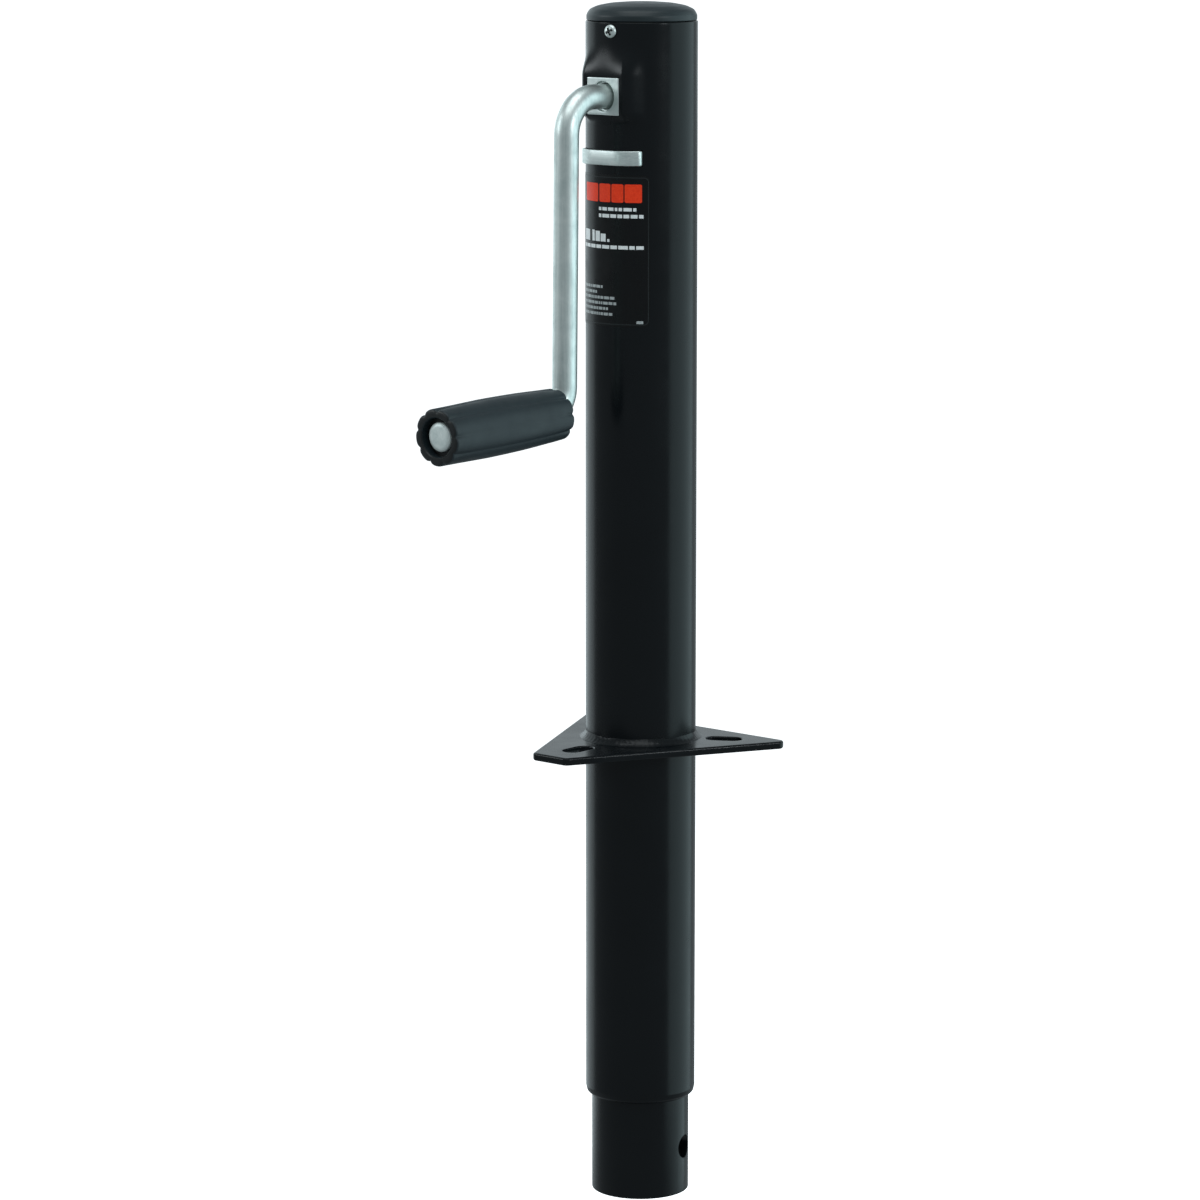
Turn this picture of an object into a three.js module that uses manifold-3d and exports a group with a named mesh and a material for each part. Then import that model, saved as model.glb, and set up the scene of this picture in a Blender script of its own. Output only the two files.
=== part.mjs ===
// Side-wind tongue jack for a trailer's A-frame coupler.
// A crank turns a bevel pinion; the bevel gear below it turns a lead screw, and the screw's nut
// pushes a leg down out of the outer tube. A triangular flange bolts the jack to the tongue.
// Millimetres, +Z up. The origin is the centre of the flange's underside, where the jack seats
// on the tongue. The crank comes out of the tube towards -Y.
import * as THREE from "three";
import { mergeVertices } from "three/addons/utils/BufferGeometryUtils.js";
import Module from "manifold-3d";

const wasm = await Module();
wasm.setup();

// ---------- Driving dimensions ----------

const GAP = 0.3; // clearance between neighbouring pieces
const ROUND_SIDES = 36; // sides of the large round pieces

// Tubes: 2 1/4 inch outside, 2 inch leg
const OUTER_RADIUS = 57.15 / 2;
const OUTER_BORE = OUTER_RADIUS - 2.8;
const OUTER_TOP = 373.7;
const OUTER_BOTTOM = -186.8;
const SWAGE = 2.4; // rounding of the outer tube's lower edge
const LEG_RADIUS = 50.8 / 2;
const LEG_BORE = LEG_RADIUS - 3.2;
const LEG_TOP = 274.2;
const LEG_BOTTOM = -238.8;
const PIN_HOLE_RADIUS = 6.2;
const PIN_HOLE_HEIGHT = LEG_BOTTOM + 24.6;
const PIN_HOLE_AZIMUTH = 107; // degrees from the crank's direction, anticlockwise from above

// Mounting flange: an isosceles plate with cut corners and three radial bolt slots. Its narrow
// corner lies below the crank. Each side is given by its azimuth and its distance from the axis.
const FLANGE_THICKNESS = 4;
const FLANGE_SIDES = [[0, 71.6], [63, 42.6], [121.5, 75], [180, 39.7], [238.5, 75], [297, 42.6]];
const FLANGE_CORNER_ROUND = 3;
const SLOT_WIDTH = 10;
const SLOT_LENGTH = 19;
const SLOTS = [[0, 49], [120, 44], [240, 44]]; // each slot's azimuth and its centre's distance
const WELD_LEG = 3.2;

// Cap and its screws
const CAP_HEIGHT = 9.3;
const CAP_RADIUS = 28.2;
const CAP_SKIRT_RADIUS = OUTER_BORE - 0.45;
const CAP_SKIRT_BORE = CAP_SKIRT_RADIUS - 3.8;
const CAP_SKIRT_DEPTH = 15;
const CAP_SCREW_HEIGHT = 369.2;
const CAP_SCREW_SHANK = 1.6;
const CAP_SCREW_AZIMUTHS = { cap_screw_front: 8, cap_screw_rear: 188 };

// Crank: a bent round rod, given by the corners of its centre line as [outward, up]
const SHAFT_HEIGHT = 336.6;
const ROD_RADIUS = 6.3;
const SPINDLE_END = -33;
const ARM_TOP = [57.2, SHAFT_HEIGHT];
const ARM_BOTTOM = [59.3, 178.7];
const GRIP_SLOPE = THREE.MathUtils.degToRad(2.1);
const ROD_END = 149.2;
const TOP_BEND = 19;
const LOWER_BEND = 14;
const BORE_CLEARANCE = 0.35;

// Grip
const GRIP_START = 66; // distance of its inner end from the tube's axis
const GRIP_LENGTH = 87.8;
const GRIP_END_POCKET = 4.8;
const GRIP_RIVET_SHANK = 2;
const GRIP_RIVET_HEAD = 7.4;

// Pressed boss, with the square pocket of the front bush
const BOSS_FACE = 30.1;
const BOSS_HALF_WIDTH = 14;
const BOSS_HALF_HEIGHT = 11.5;
const BOSS_DEPTH = 4;
const BOSS_BEVEL = 3.5;
const BUSH_PLATE_HALF_WIDTH = 10.6;
const BUSH_PLATE_HALF_HEIGHT = 9.5;
const BUSH_PLATE_THICKNESS = 2.3;
const BUSH_BARREL_RADIUS = 9;
const BUSH_RECESS_RADIUS = 7.5;
const REAR_BUSH_RADIUS = 8;
const REAR_BUSH_FACE = 29.8;

// Bevel gears share one apex, where the crank's axis meets the tube's
const PINION_TEETH = 12;
const GEAR_TEETH = 18;
const MODULE = 2;
const FACE_WIDTH = 6.2;
const ADDENDUM = 1.3;
const DEDENDUM = 1.9;

// Lead screw, its thrust bearing and its nut
const SCREW_RADIUS = 9.5;
const JOURNAL_RADIUS = 7;
const JOURNAL_TOP = 327.2;
const COLLAR_RADIUS = 15;
const COLLAR_TOP = 286.2;
const COLLAR_BOTTOM = 280.2;
const SCREW_BOTTOM = -148.8;
const SEAT_TOP = 312.6;
const SEAT_BOTTOM = 297.2;
const RACE_RADIUS = 16.5;
const RACE_THICKNESS = 2.5;
const BALL_RADIUS = 2.4;
const BALL_CIRCLE = 12.2;
const BALLS = 12;
const NUT_HEIGHT = 28;

// Spring clip whose ends pass through the tube into the bearing seat's groove
const CLIP_HEIGHT = 305.7;
const CLIP_WIDTH = 7.5;
const CLIP_THICKNESS = 1.4;
const CLIP_FACE = 30.4;
const CLIP_FLAT_HALF = 12;
const CLIP_TAB_AZIMUTH = 40;

// Label on the tube below the crank
const LABEL_BOTTOM = 220.2;
const LABEL_TOP = 297.2;
const LABEL_HALF_ANGLE = 49;

// ---------- Materials ----------

const FINISHES = {
  black_paint: { color: 0x1b1f22, roughness: 0.42, metalness: 0.1 },
  zinc: { color: 0xc3cac8, roughness: 0.33, metalness: 0.9 },
  black_plastic: { color: 0x23272b, roughness: 0.55, metalness: 0 },
  label: { color: 0x17191a, roughness: 0.35, metalness: 0 },
  gear_steel: { color: 0x7c7f80, roughness: 0.4, metalness: 0.9 },
  bright_steel: { color: 0xa9adad, roughness: 0.3, metalness: 0.95 },
};

// ---------- Shape helpers ----------

function toSolid(geometry) {
  const bare = geometry.clone();
  bare.deleteAttribute("normal");
  bare.deleteAttribute("uv");
  const merged = mergeVertices(bare);
  return new wasm.Manifold(
    new wasm.Mesh({
      numProp: 3,
      vertProperties: merged.attributes.position.array,
      triVerts: new Uint32Array(merged.index.array),
    }),
  );
}

function toGeometry(solid) {
  const { numProp, vertProperties, triVerts } = solid.getMesh();
  const positions = [];
  for (let i = 0; i < vertProperties.length; i += numProp) {
    positions.push(...vertProperties.subarray(i, i + 3));
  }
  const geometry = new THREE.BufferGeometry();
  geometry.setAttribute("position", new THREE.Float32BufferAttribute(positions, 3));
  geometry.setIndex(new THREE.BufferAttribute(triVerts, 1));
  geometry.computeVertexNormals();
  return geometry;
}

function join(first, ...others) {
  return toGeometry(others.reduce((sum, next) => sum.add(toSolid(next)), toSolid(first)));
}

function cut(first, ...cutters) {
  return toGeometry(cutters.reduce((rest, next) => rest.subtract(toSolid(next)), toSolid(first)));
}

// A piece turned about Z from a closed profile of [radius, height] points, anticlockwise.
function turned(profile, sides = ROUND_SIDES) {
  const points = [...profile, profile[0]].map(([radius, height]) => new THREE.Vector2(radius, height));
  return new THREE.LatheGeometry(points, sides).rotateX(Math.PI / 2);
}

function ring(inner, outer, bottom, top, sides = ROUND_SIDES) {
  return turned([[inner, bottom], [outer, bottom], [outer, top], [inner, top]], sides);
}

// A round bar from one point to another.
function bar(radius, start, end, sides = 24) {
  const from = new THREE.Vector3(...start);
  const along = new THREE.Vector3(...end).sub(from);
  const turn = new THREE.Quaternion().setFromUnitVectors(
    new THREE.Vector3(0, 1, 0),
    along.clone().normalize(),
  );
  const middle = from.addScaledVector(along, 0.5);
  return new THREE.CylinderGeometry(radius, radius, along.length(), sides)
    .applyQuaternion(turn)
    .translate(...middle.toArray());
}

function block(low, high) {
  const size = high.map((value, axis) => value - low[axis]);
  const centre = high.map((value, axis) => (value + low[axis]) / 2);
  return new THREE.BoxGeometry(...size).translate(...centre);
}

// Azimuths are measured from the crank's direction, -Y, anticlockwise seen from above.
function polar(radius, azimuth, height) {
  const angle = THREE.MathUtils.degToRad(azimuth);
  return [radius * Math.sin(angle), -radius * Math.cos(angle), height];
}

function radialBar(radius, azimuth, height, from, to, sides = 24) {
  return bar(radius, polar(from, azimuth, height), polar(to, azimuth, height), sides);
}

function extruded(shape, bottom, top, curveSegments = 12) {
  const settings = { depth: top - bottom, bevelEnabled: false, curveSegments };
  return new THREE.ExtrudeGeometry(shape, settings).translate(0, 0, bottom);
}

// A closed outline through [x, y] corners, each rounded by an arc of the given radius.
function roundedOutline(corners, radius) {
  const shape = new THREE.Shape();
  corners.forEach(([x, y], i) => {
    const corner = new THREE.Vector2(x, y);
    const before = new THREE.Vector2(...corners.at(i - 1)).sub(corner).normalize();
    const after = new THREE.Vector2(...corners[(i + 1) % corners.length]).sub(corner).normalize();
    const halfAngle = before.angleTo(after) / 2;
    const start = corner.clone().addScaledVector(before, radius / Math.tan(halfAngle));
    const middle = before.clone().add(after).normalize();
    const centre = corner.clone().addScaledVector(middle, radius / Math.sin(halfAngle));
    const sweep = Math.PI - 2 * halfAngle;
    const startAngle = start.clone().sub(centre).angle();
    if (i === 0) shape.moveTo(start.x, start.y);
    else shape.lineTo(start.x, start.y);
    shape.absarc(centre.x, centre.y, radius, startAngle, startAngle + sweep, false);
  });
  return shape;
}

// ---------- Bent rod ----------

class BendCurve extends THREE.Curve {
  constructor(start, direction, inward, radius, sweep) {
    super();
    Object.assign(this, { start, direction, inward, radius, sweep });
  }

  getPoint(t, target = new THREE.Vector3()) {
    const angle = t * this.sweep;
    return target
      .copy(this.start)
      .addScaledVector(this.direction, this.radius * Math.sin(angle))
      .addScaledVector(this.inward, this.radius * (1 - Math.cos(angle)));
  }
}

// The path through the given points, with each inner corner bent to its radius.
function bentPath(points, bends) {
  const path = new THREE.CurvePath();
  let from = points[0];
  bends.forEach((radius, i) => {
    const corner = points[i + 1];
    const arriving = corner.clone().sub(points[i]).normalize();
    const leaving = points[i + 2].clone().sub(corner).normalize();
    const sweep = arriving.angleTo(leaving);
    const setback = radius * Math.tan(sweep / 2);
    const start = corner.clone().addScaledVector(arriving, -setback);
    const inward = leaving.clone().addScaledVector(arriving, -leaving.dot(arriving)).normalize();
    path.add(new THREE.LineCurve3(from, start));
    path.add(new BendCurve(start, arriving, inward, radius, sweep));
    from = corner.clone().addScaledVector(leaving, setback);
  });
  path.add(new THREE.LineCurve3(from, points.at(-1)));
  return path;
}

const inCrankPlane = ([outward, height]) => new THREE.Vector3(0, -outward, height);

// A point on the grip's axis at a distance from the tube's axis.
function onGripAxis(outward) {
  return [outward, ARM_BOTTOM[1] - (outward - ARM_BOTTOM[0]) * Math.tan(GRIP_SLOPE)];
}

function crankRod() {
  const corners = [[SPINDLE_END, SHAFT_HEIGHT], ARM_TOP, ARM_BOTTOM, onGripAxis(ROD_END)];
  const section = new THREE.Shape().absarc(0, 0, ROD_RADIUS, 0, 2 * Math.PI);
  const rod = new THREE.ExtrudeGeometry(section, {
    steps: 64,
    curveSegments: 7,
    extrudePath: bentPath(corners.map(inCrankPlane), [TOP_BEND, LOWER_BEND]),
  });
  const end = inCrankPlane(onGripAxis(ROD_END + 1)).toArray();
  const rivetHoleBottom = inCrankPlane(onGripAxis(ROD_END - 13)).toArray();
  return cut(rod, pinionPin(GAP), bar(GRIP_RIVET_SHANK + 0.4, rivetHoleBottom, end, 16));
}

// ---------- Bevel gears ----------

// A bevel gear about Z with its apex at the origin and its teeth facing up. The pitch circle lies
// at apexDepth below the apex, and back gives the blank's profile behind the teeth.
function bevelGear(teeth, apexDepth, firstTooth, bore, back) {
  const pitchRadius = (MODULE * teeth) / 2;
  const slant = Math.hypot(pitchRadius, apexDepth);
  const inner = (slant - FACE_WIDTH) / slant;
  const onCone = (scale, height) => [
    scale * (pitchRadius + (height * apexDepth) / slant),
    scale * (-apexDepth + (height * pitchRadius) / slant),
  ];
  const innerRoot = onCone(inner, -DEDENDUM);
  const blank = turned([...back, onCone(1, -DEDENDUM), innerRoot, [bore, innerRoot[1]]]);
  const blanks = [blank];
  for (let i = 0; i < teeth; i++) {
    const tooth = new THREE.BoxGeometry(1, 1, 1);
    const position = tooth.attributes.position;
    for (let v = 0; v < position.count; v++) {
      const atTip = position.getY(v) > 0;
      const scale = position.getZ(v) > 0 ? 1 : inner;
      const halfWidth = (atTip ? 0.62 : 1.3) * Math.sign(position.getX(v)) * scale;
      const [radius, height] = onCone(scale, atTip ? ADDENDUM : -DEDENDUM - 0.4);
      position.setXYZ(v, radius, halfWidth, height);
    }
    const angle = THREE.MathUtils.degToRad(firstTooth) + (2 * Math.PI * i) / teeth;
    blanks.push(tooth.rotateZ(angle));
  }
  return join(...blanks);
}

const PINION_REACH = (MODULE * GEAR_TEETH) / 2;
const GEAR_DROP = (MODULE * PINION_TEETH) / 2;
const PINION_HUB_END = -22.6;
const PINION_PIN_OFFSET = -21.1;
const PINION_PIN_HALF = 9.8;
const GEAR_HUB_BOTTOM = 315.6;
const GEAR_PIN_HEIGHT = 318;
const GEAR_PIN_HALF = 11.4;

function pinionPin(clearance = 0) {
  const half = PINION_PIN_HALF + clearance * 4;
  const ends = [-half, half].map((x) => [x, PINION_PIN_OFFSET, SHAFT_HEIGHT]);
  return bar(1 + clearance, ...ends, 12);
}

function bevelPinion() {
  const bore = ROD_RADIUS + GAP;
  const back = [[bore, PINION_HUB_END], [10.2, PINION_HUB_END], [10.2, -19.6]];
  const gear = bevelGear(PINION_TEETH, PINION_REACH, 90 + 180 / PINION_TEETH, bore, back)
    .rotateX(-Math.PI / 2)
    .translate(0, 0, SHAFT_HEIGHT);
  return cut(gear, pinionPin(GAP));
}

function gearPin(clearance = 0) {
  const half = GEAR_PIN_HALF + clearance * 4;
  return bar(1.5 + clearance, [-half, 0, GEAR_PIN_HEIGHT], [half, 0, GEAR_PIN_HEIGHT], 12);
}

function bevelGearOnScrew() {
  const bore = JOURNAL_RADIUS + GAP;
  const hubBottom = GEAR_HUB_BOTTOM - SHAFT_HEIGHT;
  const back = [[bore, hubBottom], [12, hubBottom], [12, -16.4], [16.2, -16.4], [16.2, -14.6]];
  const gear = bevelGear(GEAR_TEETH, GEAR_DROP, -90, bore, back).translate(0, 0, SHAFT_HEIGHT);
  return cut(gear, gearPin(GAP));
}

// ---------- Tube, flange and cap ----------

// The tube's wall is pressed out into a flat pad round the front bush.
function pressedBoss() {
  const sides = [[-1, -1], [1, -1], [1, 1], [-1, 1]];
  const corners = sides.map(([x, y]) => [x * BOSS_HALF_WIDTH, y * BOSS_HALF_HEIGHT]);
  const settings = {
    depth: BOSS_DEPTH,
    curveSegments: 3,
    bevelThickness: BOSS_BEVEL,
    bevelSize: 5,
    bevelOffset: -0.5,
    bevelSegments: 2,
  };
  return new THREE.ExtrudeGeometry(roundedOutline(corners, 3), settings)
    .rotateX(Math.PI / 2)
    .translate(0, -BOSS_FACE + BOSS_DEPTH + BOSS_BEVEL, SHAFT_HEIGHT);
}

function outerTube() {
  const outside = turned(
    [
      [0, OUTER_BOTTOM],
      [OUTER_RADIUS - SWAGE, OUTER_BOTTOM],
      [OUTER_RADIUS - SWAGE * 0.3, OUTER_BOTTOM + SWAGE * 0.5],
      [OUTER_RADIUS, OUTER_BOTTOM + SWAGE * 1.5],
      [OUTER_RADIUS, OUTER_TOP],
      [0, OUTER_TOP],
    ],
  );
  const pocketWidth = BUSH_PLATE_HALF_WIDTH + GAP;
  const pocketHeight = BUSH_PLATE_HALF_HEIGHT + GAP;
  const pocketFloor = -(BOSS_FACE - BUSH_PLATE_THICKNESS - GAP);
  const screwHoles = Object.values(CAP_SCREW_AZIMUTHS).map((azimuth) =>
    radialBar(CAP_SCREW_SHANK + 0.5, azimuth, CAP_SCREW_HEIGHT, 20, 35, 12),
  );
  const tubeBore = [
    [0, OUTER_BOTTOM - 1],
    [OUTER_BORE, OUTER_BOTTOM - 1],
    [OUTER_BORE, OUTER_TOP + 1],
    [0, OUTER_TOP + 1],
  ];
  const cutters = [
    turned(tubeBore),
    block(
      [-pocketWidth, -BOSS_FACE - 2, SHAFT_HEIGHT - pocketHeight],
      [pocketWidth, pocketFloor, SHAFT_HEIGHT + pocketHeight],
    ),
    radialBar(BUSH_BARREL_RADIUS + GAP, 0, SHAFT_HEIGHT, 20, 35, 32),
    radialBar(REAR_BUSH_RADIUS + GAP, 180, SHAFT_HEIGHT, 20, 35, 32),
    ...screwHoles,
    ...[-CLIP_TAB_AZIMUTH, CLIP_TAB_AZIMUTH].map((azimuth) => clipTab(azimuth, GAP, 20)),
  ];
  return cut(join(outside, pressedBoss()), ...cutters);
}

function slotHole([azimuth, centre]) {
  const straight = (SLOT_LENGTH - SLOT_WIDTH) / 2;
  const [x, y] = polar(1, azimuth, 0);
  const heading = Math.atan2(y, x);
  const near = [x * (centre - straight), y * (centre - straight)];
  const far = [x * (centre + straight), y * (centre + straight)];
  const hole = new THREE.Path();
  hole.absarc(...far, SLOT_WIDTH / 2, heading - Math.PI / 2, heading + Math.PI / 2, false);
  hole.absarc(...near, SLOT_WIDTH / 2, heading + Math.PI / 2, heading + 1.5 * Math.PI, false);
  hole.closePath();
  return hole;
}

// The corner where two neighbouring sides of the flange meet.
function flangeCorner([azimuth, distance], [nextAzimuth, nextDistance]) {
  const [x, y] = polar(1, azimuth, 0);
  const [nextX, nextY] = polar(1, nextAzimuth, 0);
  const cross = x * nextY - y * nextX;
  return [(distance * nextY - nextDistance * y) / cross, (nextDistance * x - distance * nextX) / cross];
}

function mountingFlange() {
  const following = (i) => FLANGE_SIDES[(i + 1) % FLANGE_SIDES.length];
  const corners = FLANGE_SIDES.map((side, i) => flangeCorner(side, following(i)));
  const plate = roundedOutline(corners, FLANGE_CORNER_ROUND);
  plate.holes = SLOTS.map(slotHole);
  const tubeHole = bar(OUTER_RADIUS + GAP, [0, 0, -1], [0, 0, FLANGE_THICKNESS + 1], ROUND_SIDES);
  return cut(extruded(plate, 0, FLANGE_THICKNESS, 4), tubeHole);
}

// A fillet weld round the tube, on the flange's upper face; the lower face seats on the tongue.
function flangeWeld() {
  const face = FLANGE_THICKNESS + GAP;
  const tube = OUTER_RADIUS + GAP;
  const bulge = WELD_LEG * 0.62;
  return turned([
    [tube, face],
    [tube + WELD_LEG, face],
    [tube + bulge, face + bulge],
    [tube, face + WELD_LEG],
  ]);
}

function topCap() {
  const rim = OUTER_TOP + GAP;
  const crown = rim + CAP_HEIGHT;
  const ceiling = rim + 2.5;
  const skirtBottom = rim - CAP_SKIRT_DEPTH;
  const shell = turned([
    [0, ceiling],
    [CAP_SKIRT_BORE, ceiling],
    [CAP_SKIRT_BORE, skirtBottom],
    [CAP_SKIRT_RADIUS, skirtBottom],
    [CAP_SKIRT_RADIUS, rim],
    [CAP_RADIUS, rim],
    [CAP_RADIUS, rim + 3],
    [CAP_RADIUS - 1.4, rim + 5.6],
    [CAP_RADIUS - 5, rim + 7.8],
    [CAP_RADIUS - 12, rim + 8.9],
    [0, crown],
  ]);
  const holes = Object.values(CAP_SCREW_AZIMUTHS).map((azimuth) =>
    radialBar(CAP_SCREW_SHANK + GAP, azimuth, CAP_SCREW_HEIGHT, 18, 28, 12),
  );
  return cut(shell, ...holes);
}

function capScrew(azimuth) {
  const head = OUTER_RADIUS + GAP;
  return join(
    radialBar(3.3, azimuth, CAP_SCREW_HEIGHT, head, head + 1.2),
    radialBar(2.4, azimuth, CAP_SCREW_HEIGHT, head + 1, head + 1.9),
    radialBar(CAP_SCREW_SHANK, azimuth, CAP_SCREW_HEIGHT, 20.5, head + 1, 12),
  );
}

function labelSheet() {
  const half = THREE.MathUtils.degToRad(LABEL_HALF_ANGLE);
  const inner = OUTER_RADIUS + GAP;
  const middle = -Math.PI / 2;
  const outline = new THREE.Shape();
  outline.absarc(0, 0, inner + 0.3, middle - half, middle + half, false);
  outline.absarc(0, 0, inner, middle + half, middle - half, true);
  return extruded(outline, LABEL_BOTTOM, LABEL_TOP, 8);
}

// ---------- Bushes and clip ----------

function frontBush() {
  const width = BUSH_PLATE_HALF_WIDTH;
  const height = BUSH_PLATE_HALF_HEIGHT;
  const back = -(BOSS_FACE - BUSH_PLATE_THICKNESS);
  return cut(
    join(
      block([-width, -BOSS_FACE, SHAFT_HEIGHT - height], [width, back, SHAFT_HEIGHT + height]),
      radialBar(BUSH_BARREL_RADIUS, 0, SHAFT_HEIGHT, 23.2, -back + 0.5, 32),
    ),
    radialBar(ROD_RADIUS + BORE_CLEARANCE, 0, SHAFT_HEIGHT, 20, 32),
    radialBar(BUSH_RECESS_RADIUS, 0, SHAFT_HEIGHT, 29, 32),
  );
}

function rearBush() {
  return cut(
    join(
      radialBar(REAR_BUSH_RADIUS, 180, SHAFT_HEIGHT, 21, REAR_BUSH_FACE, 32),
      radialBar(REAR_BUSH_RADIUS + 2, 180, SHAFT_HEIGHT, 20, 23, 32),
    ),
    radialBar(ROD_RADIUS + BORE_CLEARANCE, 180, SHAFT_HEIGHT, 18, 32),
  );
}

function clipTab(azimuth, clearance, from) {
  const half = CLIP_THICKNESS / 2 + clearance;
  const halfWidth = CLIP_WIDTH / 2 + clearance;
  return block([-half, -35, CLIP_HEIGHT - halfWidth], [half, -from, CLIP_HEIGHT + halfWidth])
    .rotateZ(THREE.MathUtils.degToRad(azimuth));
}

function seatClip() {
  const end = CLIP_FACE + 0.3;
  const halfTab = THREE.MathUtils.radToDeg(Math.atan(CLIP_THICKNESS / 2 / end));
  const [endX, endY] = polar(end, CLIP_TAB_AZIMUTH + halfTab, 0);
  const strap = new THREE.Shape();
  strap.moveTo(-endX, endY);
  strap.lineTo(-CLIP_FLAT_HALF, -CLIP_FACE);
  strap.lineTo(CLIP_FLAT_HALF, -CLIP_FACE);
  strap.lineTo(endX, endY);
  const inset = 1 - CLIP_THICKNESS / end;
  strap.lineTo(endX * inset, endY * inset);
  strap.lineTo(CLIP_FLAT_HALF - 0.5, -CLIP_FACE + CLIP_THICKNESS);
  strap.lineTo(-CLIP_FLAT_HALF + 0.5, -CLIP_FACE + CLIP_THICKNESS);
  strap.lineTo(-endX * inset, endY * inset);
  const half = CLIP_WIDTH / 2;
  const tabs = [-1, 1].map((side) => {
    const tab = block(
      [-CLIP_THICKNESS / 2, -end + 0.2, CLIP_HEIGHT - half],
      [CLIP_THICKNESS / 2, -22.4, CLIP_HEIGHT + half],
    );
    return tab.rotateZ(THREE.MathUtils.degToRad(side * CLIP_TAB_AZIMUTH));
  });
  return join(extruded(strap, CLIP_HEIGHT - half, CLIP_HEIGHT + half), ...tabs);
}

// A push-on retaining ring on the spindle's rear end.
function spindleRing() {
  return ring(ROD_RADIUS + GAP, 9.5, 0, 1.2, 32)
    .rotateX(-Math.PI / 2)
    .translate(0, REAR_BUSH_FACE + 0.6, SHAFT_HEIGHT);
}

// ---------- Screw, bearing and nut ----------

function leadScrew() {
  const body = turned(
    [
      [0, SCREW_BOTTOM],
      [SCREW_RADIUS - 2, SCREW_BOTTOM],
      [SCREW_RADIUS, SCREW_BOTTOM + 2],
      [SCREW_RADIUS, COLLAR_BOTTOM],
      [COLLAR_RADIUS, COLLAR_BOTTOM],
      [COLLAR_RADIUS, COLLAR_TOP],
      [JOURNAL_RADIUS, COLLAR_TOP],
      [JOURNAL_RADIUS, JOURNAL_TOP - 1],
      [JOURNAL_RADIUS - 1, JOURNAL_TOP],
      [0, JOURNAL_TOP],
    ],
    32,
  );
  return cut(body, gearPin(GAP), stopPin(GAP));
}

function stopPin(clearance = 0) {
  const half = 12;
  const height = SCREW_BOTTOM + 4.4;
  return bar(1.7 + clearance, [-half, 0, height], [half, 0, height], 12);
}

function bearingSeat() {
  const radius = OUTER_BORE - 0.4;
  const groove = [CLIP_HEIGHT - CLIP_WIDTH / 2 - 0.6, CLIP_HEIGHT + CLIP_WIDTH / 2 + 0.6];
  return turned([
    [JOURNAL_RADIUS + GAP, SEAT_BOTTOM],
    [radius, SEAT_BOTTOM],
    [radius, groove[0]],
    [21.6, groove[0]],
    [21.6, groove[1]],
    [radius, groove[1]],
    [radius, SEAT_TOP],
    [JOURNAL_RADIUS + GAP, SEAT_TOP],
  ]);
}

const RACE_BORE = JOURNAL_RADIUS + GAP;
const UPPER_RACE_TOP = SEAT_BOTTOM - GAP;
const BALL_HEIGHT = UPPER_RACE_TOP - RACE_THICKNESS - GAP - BALL_RADIUS;
const LOWER_RACE_TOP = BALL_HEIGHT - BALL_RADIUS - GAP;

function ballsInCage() {
  const balls = [];
  for (let i = 0; i < BALLS; i++) {
    const place = polar(BALL_CIRCLE, (360 * i) / BALLS, BALL_HEIGHT);
    balls.push(new THREE.SphereGeometry(BALL_RADIUS, 8, 6).translate(...place));
  }
  return join(ring(RACE_BORE + 0.8, RACE_RADIUS - 0.5, BALL_HEIGHT - 0.8, BALL_HEIGHT + 0.8, 24), ...balls);
}

const NUT_RADIUS = LEG_BORE - 0.4;
const NUT_PIN_HEIGHT = LEG_TOP - NUT_HEIGHT / 2;
const NUT_PIN_AZIMUTHS = { nut_pin_left: -90, nut_pin_right: 90 };

function nutPin(azimuth, clearance = 0) {
  const from = 13.5 - clearance;
  const to = LEG_RADIUS - 0.3 + clearance * 4;
  return radialBar(2.6 + clearance, azimuth, NUT_PIN_HEIGHT, from, to, 16);
}

const nutPinHoles = () => Object.values(NUT_PIN_AZIMUTHS).map((azimuth) => nutPin(azimuth, GAP));

// The nut hangs in the top of the leg by its flange.
function driveNut() {
  const bore = SCREW_RADIUS + BORE_CLEARANCE;
  const nut = turned([
    [bore, LEG_TOP - NUT_HEIGHT],
    [NUT_RADIUS, LEG_TOP - NUT_HEIGHT],
    [NUT_RADIUS, LEG_TOP + GAP],
    [LEG_RADIUS - 0.2, LEG_TOP + GAP],
    [LEG_RADIUS - 0.2, LEG_TOP + 2.6],
    [bore, LEG_TOP + 2.6],
  ]);
  return cut(nut, ...nutPinHoles());
}

function legTube() {
  const tube = turned([
    [LEG_BORE + 0.6, LEG_BOTTOM],
    [LEG_RADIUS - 0.6, LEG_BOTTOM],
    [LEG_RADIUS, LEG_BOTTOM + 0.6],
    [LEG_RADIUS, LEG_TOP],
    [LEG_BORE, LEG_TOP],
    [LEG_BORE, LEG_BOTTOM + 0.6],
  ]);
  const pinHole = bar(
    PIN_HOLE_RADIUS,
    polar(30, PIN_HOLE_AZIMUTH, PIN_HOLE_HEIGHT),
    polar(-30, PIN_HOLE_AZIMUTH, PIN_HOLE_HEIGHT),
    24,
  );
  return cut(tube, pinHole, ...nutPinHoles());
}

// ---------- Grip ----------

// Places a piece made along +Z so that it runs outward along the grip's axis.
function alongGrip(geometry, outward) {
  const [distance, height] = onGripAxis(outward);
  return geometry.rotateX(Math.PI / 2 + GRIP_SLOPE).translate(0, -distance, height);
}

function gripSleeve() {
  const bore = ROD_RADIUS + 0.4;
  const pocketFloor = GRIP_LENGTH - GRIP_END_POCKET;
  return turned(
    [
      [bore + 4, 0],
      [12.4, 0],
      [13.5, 1.2],
      [14.2, 18],
      [14.8, 42],
      [14.8, 54],
      [14.4, 76],
      [14.4, GRIP_LENGTH - 1.2],
      [13.2, GRIP_LENGTH],
      [10, GRIP_LENGTH],
      [10, pocketFloor],
      [bore, pocketFloor],
      [bore, 14],
      [bore + 3.2, 11],
    ],
    32,
  );
}

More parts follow.
